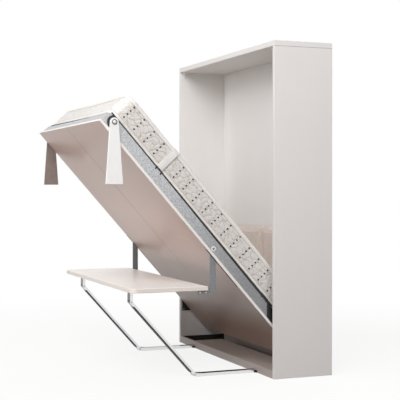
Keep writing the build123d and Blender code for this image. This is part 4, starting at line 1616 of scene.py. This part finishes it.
@dataclass
class Desk(SubAssembly):
    """The desk that stays level: its top, cranked arms, posts, bolts and screws."""

    screw: Head = Head(0.0042, 0.0024, 0.002)
    cap: Head = Head(0.0075, 0.0026, 0.0042)
    foot_bolt: Head = Head(0.0065, 0.003, 0.0028)
    foot_bolts: tuple[float, ...] = (0.012, 0.050)
    foot_bolt_drop: float = 0.012
    foot_screws: tuple[float, ...] = (0.012, 0.042)
    foot_inset: float = 0.028
    flange_sheet: float = 0.003
    flange_inset: float = 0.005
    finishes: ClassVar[dict[str, Finish]] = {
        "desk_top": DESK_WOOD, "desk_arm_left": ARM_GREY, "desk_arm_right": ARM_GREY,
        "desk_post_left": CHROME, "desk_post_right": CHROME, "arm_bolts": WASHER,
        "link_pins_upper": ZINC,
    }

    def build(self) -> None:
        """Builds the caps on the arms' bolts, and the screws and bolts under the desk."""
        caps = self.bolt_ends("arm_bolts")
        self.fasteners("arm_bolt_caps", "bed", ARM_GREY, "zinc_steel", self.cap, caps)
        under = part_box("desk_top")[0][2]
        top = under - self.flange_sheet
        seats = []
        for side in ("left", "right"):
            low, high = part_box(f"desk_post_{side}")
            xs = (low[0] + self.flange_inset, high[0] - self.flange_inset)
            ys = (low[1] + self.flange_inset, high[1] - self.flange_inset)
            seats += [((x, y, top), (0, 0, -1.0)) for x in xs for y in ys]
            low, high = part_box(f"desk_arm_{side}")
            x = low[0] + self.foot_inset if side == "right" else high[0] - self.foot_inset
            seats += [((x, low[1] + reach, top), (0, 0, -1.0)) for reach in self.foot_screws]
        self.fasteners("desk_screws", "desk", ZINC, "zinc_steel", self.screw, seats)
        seats = []
        for side, face, way in (("left", 0, -1.0), ("right", 1, 1.0)):
            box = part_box(f"desk_arm_{side}")
            x, y, z = box[face][0], box[0][1], under - self.foot_bolt_drop
            seats += [((x, y + reach, z), (way, 0, 0)) for reach in self.foot_bolts]
        self.fasteners("arm_foot_bolts", "desk", WASHER, "zinc_steel", self.foot_bolt, seats)


@dataclass
class Linkage(SubAssembly):
    """The parallel linkage on the floor: tubes, legs with a dark strip of painted reflection, pins and
    brackets.
    """

    foot: Pair = (-0.431, 0.014)
    top: Pair = (-0.86046, 0.49659)
    half_height: float = 0.010
    half_width: float = 0.0251
    strip_sheet: float = 0.0012
    strip_rise: float = 0.0055
    strip_bevel: float = 0.0004
    strip_gap: float = 0.0001
    strip_ends: Pair = (0.05, 0.95)
    strip_rows: int = 9
    finishes: ClassVar[dict[str, Finish]] = {
        "floor_tube_left": CHROME, "floor_tube_right": CHROME, "desk_leg_left": CHROME,
        "desk_leg_right": CHROME, "tube_brackets": BLACK_STEEL, "link_pins_lower": ZINC,
    }

    def build(self) -> None:
        """Builds the dark strip under each leg, a painted reflection that darkens the legs' lower
        faces.
        """
        for side in ("left", "right"):
            self._reflection_strip(side)

    def _reflection_strip(self, side: str) -> None:
        """Builds the strip of one leg, a channel that clasps the leg's lower edges and darkens them as
        painted reflection.

        Args:
            side: the leg's side, left or right.
        """
        low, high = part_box(f"desk_leg_{side}")
        middle = (low[0] + high[0]) / 2
        foot, top = np.array(self.foot), np.array(self.top)
        way = (top - foot) / np.linalg.norm(top - foot)
        out = np.array((-way[1], way[0]))
        inner, sheet, rise = self.half_width, self.strip_sheet, self.strip_rise
        outer, bevel = inner + sheet, self.strip_bevel
        half = [(outer - bevel, sheet), (outer, sheet - bevel), (outer, -rise), (inner, -rise)]
        half.append((inner, self.strip_gap))
        across = [(-x, drop) for x, drop in reversed(half)] + half
        shell = Shell()
        rings = []
        for share in np.linspace(*self.strip_ends, self.strip_rows):
            line = foot + (top - foot) * share
            points = [line + out * (self.half_height + drop) for _, drop in across]
            rings.append(np.array([(middle + x, *point) for (x, _), point in zip(across, points)]))
        shell.tube(rings)
        piece = shell.piece(f"leg_reflection_strip_{side}")
        self.settle(piece, f"desk_leg_{side}", "black_plastic", RUBBER_AND_SHADE)


@dataclass
class SupportLegs(SubAssembly):
    """The plumb legs with their brackets and bolts."""

    cap: Head = Head(0.0105, 0.0032, 0.0052)
    finishes: ClassVar[dict[str, Finish]] = {
        "support_leg_left": LEG_WHITE, "support_leg_right": LEG_WHITE, "leg_brackets": BLACK_PLASTIC,
        "leg_bolts": DARK_WASHER,
    }

    def build(self) -> None:
        """Builds the caps on the legs' bolts."""
        caps = self.bolt_ends("leg_bolts")
        self.fasteners("leg_bolt_caps", "bed", ZINC, "zinc_steel", self.cap, caps)


@dataclass
class GasStruts(SubAssembly):
    """The gas struts with their anchors and studs."""

    finishes: ClassVar[dict[str, Finish]] = {
        "strut_cylinder_left": BLACK_STEEL, "strut_cylinder_right": BLACK_STEEL,
        "strut_rod_left": CHROME, "strut_rod_right": CHROME, "strut_anchors": BLACK_STEEL,
        "strut_studs": ZINC,
    }


@dataclass(frozen=True)
class Lamp:
    """A soft square lamp; a strength of 1 in all shows a colour as it is written."""

    name: str
    azimuth: float
    elevation: float
    reach: float
    size: float
    strength: float


@dataclass
class Studio:
    """Camera, world, floor and lamps."""

    lens: float = 93.1
    sensor: float = 36.0
    shift_y: float = -0.0173
    far: float = 200.0
    camera_at: Point = (6.7657, -2.8572, 1.2239)
    azimuth: float = 68.304
    elevation: float = 0.37
    aim: Point = (0.0, -0.4, 1.0)
    sky_low: float = 0.17
    sky_high: float = 0.36
    sky_warm: Light = (1.0, 0.93, 0.87, 1.0)
    sky_plain: Light = (1.0, 0.99, 0.98, 1.0)
    sky_turn: Pair = (-0.2, 0.6)
    floor_size: float = 60.0
    floor_drop: float = 0.0006
    floor_pale: Light = (0.9, 0.88, 0.86, 1.0)
    # painted shade: the floor inside the cabinet is black
    floor_inside_shade: Light = (0.01, 0.01, 0.01, 1.0)
    floor_bounce: Colour = (146, 132, 123)
    floor_shade: Colour = (66, 44, 35)
    shade_reach: Pair = (-2.2, -0.9)
    shadow_share: float = 0.15
    shadow_reach: Pair = (1.8, 4.5)
    lamps: tuple[Lamp, ...] = (
        Lamp("key", 52.0, 36.0, 8.0, 4.4, 0.60),
        Lamp("side", 88.0, 24.0, 8.0, 3.4, 0.26),
        Lamp("fill", 3.0, 20.0, 7.5, 4.6, 0.34),
        Lamp("rim", -130.0, 14.0, 8.0, 3.4, 0.42),
    )

    def build(self) -> None:
        """Sets up the view, the light and the floor."""
        self._camera()
        self._world()
        self._floor()
        for lamp in self.lamps:
            self._hang(lamp)
        bpy.context.scene.view_settings.view_transform = "Standard"

    def _camera(self) -> None:
        """Places the camera at the photograph's angle."""
        data = bpy.data.cameras.new("camera")
        data.lens, data.sensor_width, data.shift_y = self.lens, self.sensor, self.shift_y
        data.clip_end = self.far
        camera = bpy.data.objects.new("camera", data)
        bpy.context.scene.collection.objects.link(camera)
        camera.location = self.camera_at
        camera.rotation_mode = "QUATERNION"
        back = self._way(self.azimuth, self.elevation)
        camera.rotation_quaternion = (-back).to_track_quat("-Z", "Y")
        bpy.context.scene.camera = camera

    @staticmethod
    def _way(azimuth: float, elevation: float) -> Vector:
        """Returns the direction at an angle from the front to the right, and up, in degrees."""
        a, e = math.radians(azimuth), math.radians(elevation)
        return Vector((math.sin(a) * math.cos(e), -math.cos(a) * math.cos(e), math.sin(e)))

    @staticmethod
    def _seen(graph: Graph) -> Socket:
        """Finds the rays that show the background: from the camera, a mirror or glass.

        Args:
            graph: the nodes of the world or the floor.

        Returns:
            1 for those rays and 0 for others.
        """
        path = graph.node("LightPath").outputs
        shown = graph.math("ADD", path["Is Camera Ray"], path["Is Glossy Ray"])
        return graph.math("ADD", shown, path["Is Transmission Ray"], clamp=True)

    def _world(self) -> None:
        """Sets a white background and a light that grows towards the zenith."""
        world = bpy.data.worlds.new("studio")
        bpy.context.scene.world = world
        world.use_nodes = True
        world.node_tree.nodes.clear()
        graph = Graph(world.node_tree)
        up = graph.part(graph.node("TexCoord").outputs["Generated"], 2)
        strength = graph.remap(up, 0.0, 1.0, self.sky_low, self.sky_high)
        warmth = graph.mix(graph.remap(up, *self.sky_turn), self.sky_warm, self.sky_plain)
        light = graph.node("Background", {"Color": warmth, "Strength": strength})
        white = graph.node("Background", {"Color": WHITE, "Strength": 1.0})
        both = graph.node("MixShader", {0: self._seen(graph), 1: light.outputs[0], 2: white.outputs[0]})
        graph.node("OutputWorld", {"Surface": both.outputs[0]})

    def _floor(self) -> None:
        """Lays a pale floor that keeps the shadow and returns a warm, low bounce; inside the cabinet it
        is painted black as shade.
        """
        half, z = self.floor_size / 2, -self.floor_drop
        corners = [(-half, -half, z), (half, -half, z), (half, half, z), (-half, half, z)]
        mesh = bpy.data.meshes.new("floor")
        mesh.from_pydata(corners, [], [(0, 1, 2, 3)])
        floor = bpy.data.objects.new("floor", mesh)
        bpy.context.scene.collection.objects.link(floor)
        material = bpy.data.materials.new("floor")
        material.use_nodes = True
        material.node_tree.nodes.clear()
        graph = Graph(material.node_tree)
        place = graph.node("NewGeometry").outputs["Position"]
        inside = self._inside(graph, place)
        away = graph.vector("LENGTH", place).outputs["Value"]
        share = graph.remap(away, *self.shadow_reach, 1 - self.shadow_share, 1.0)
        bright = graph.math("MULTIPLY", share, graph.math("SUBTRACT", 1.0, inside))
        # Painted shade: inside the cabinet the floor is black to the camera and to bounced light.
        pale = graph.mix(inside, self.floor_pale, self.floor_inside_shade)
        pale = graph.node("BsdfDiffuse", {"Color": pale})
        glow = graph.node("Emission", {"Color": WHITE, "Strength": 1.0})
        shown = graph.node("MixShader", {0: bright, 1: pale.outputs[0], 2: glow.outputs[0]})
        near = graph.remap(graph.part(place, 1), *self.shade_reach)
        bounce = graph.mix(near, linear(self.floor_bounce), linear(self.floor_shade))
        bounce = graph.node("BsdfDiffuse", {"Color": graph.mix(inside, bounce, self.floor_inside_shade)})
        seen = self._seen(graph)
        both = graph.node("MixShader", {0: seen, 1: bounce.outputs[0], 2: shown.outputs[0]})
        graph.node("OutputMaterial", {"Surface": both.outputs[0]})
        mesh.materials.append(material)

    @staticmethod
    def _inside(graph: Graph, place: Value) -> Socket:
        """Finds the floor inside the cabinet, between the base boards, which is painted black as shade.

        Args:
            graph: the floor's nodes.
            place: the position on the floor.

        Returns:
            1 there and 0 elsewhere.
        """
        base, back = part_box("base_board"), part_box("back_panel")
        parts = graph.node("SeparateXYZ", {0: place}).outputs
        wide = graph.math("LESS_THAN", graph.math("ABSOLUTE", parts[0]), back[1][0])
        front = graph.math("GREATER_THAN", parts[1], base[0][1])
        rear = graph.math("LESS_THAN", parts[1], back[1][1])
        return graph.math("MULTIPLY", graph.math("MULTIPLY", wide, front), rear)

    def _hang(self, lamp: Lamp) -> None:
        """Hangs one lamp off the point that it looks at.

        Args:
            lamp: the lamp.
        """
        way = self._way(lamp.azimuth, lamp.elevation)
        data = bpy.data.lights.new(lamp.name, "AREA")
        data.size, data.energy = lamp.size, lamp.strength * (math.pi * lamp.reach) ** 2
        made = bpy.data.objects.new(lamp.name, data)
        bpy.context.scene.collection.objects.link(made)
        made.location = Vector(self.aim) + way * lamp.reach
        made.rotation_mode = "QUATERNION"
        made.rotation_quaternion = (-way).to_track_quat("-Z", "Y")


def main() -> None:
    """Builds and dresses each sub-assembly."""
    logging.basicConfig(level=logging.INFO, format="%(message)s")
    Studio().build()
    effects = Effects()
    for group in (Cabinet, Headboard, Mattress, BedFrame, Desk, Linkage, SupportLegs, GasStruts):
        made = group(effects)
        made.dress()
        made.build()
        LOG.info("%s done", group.__name__)


if __name__ == "__main__":
    main()
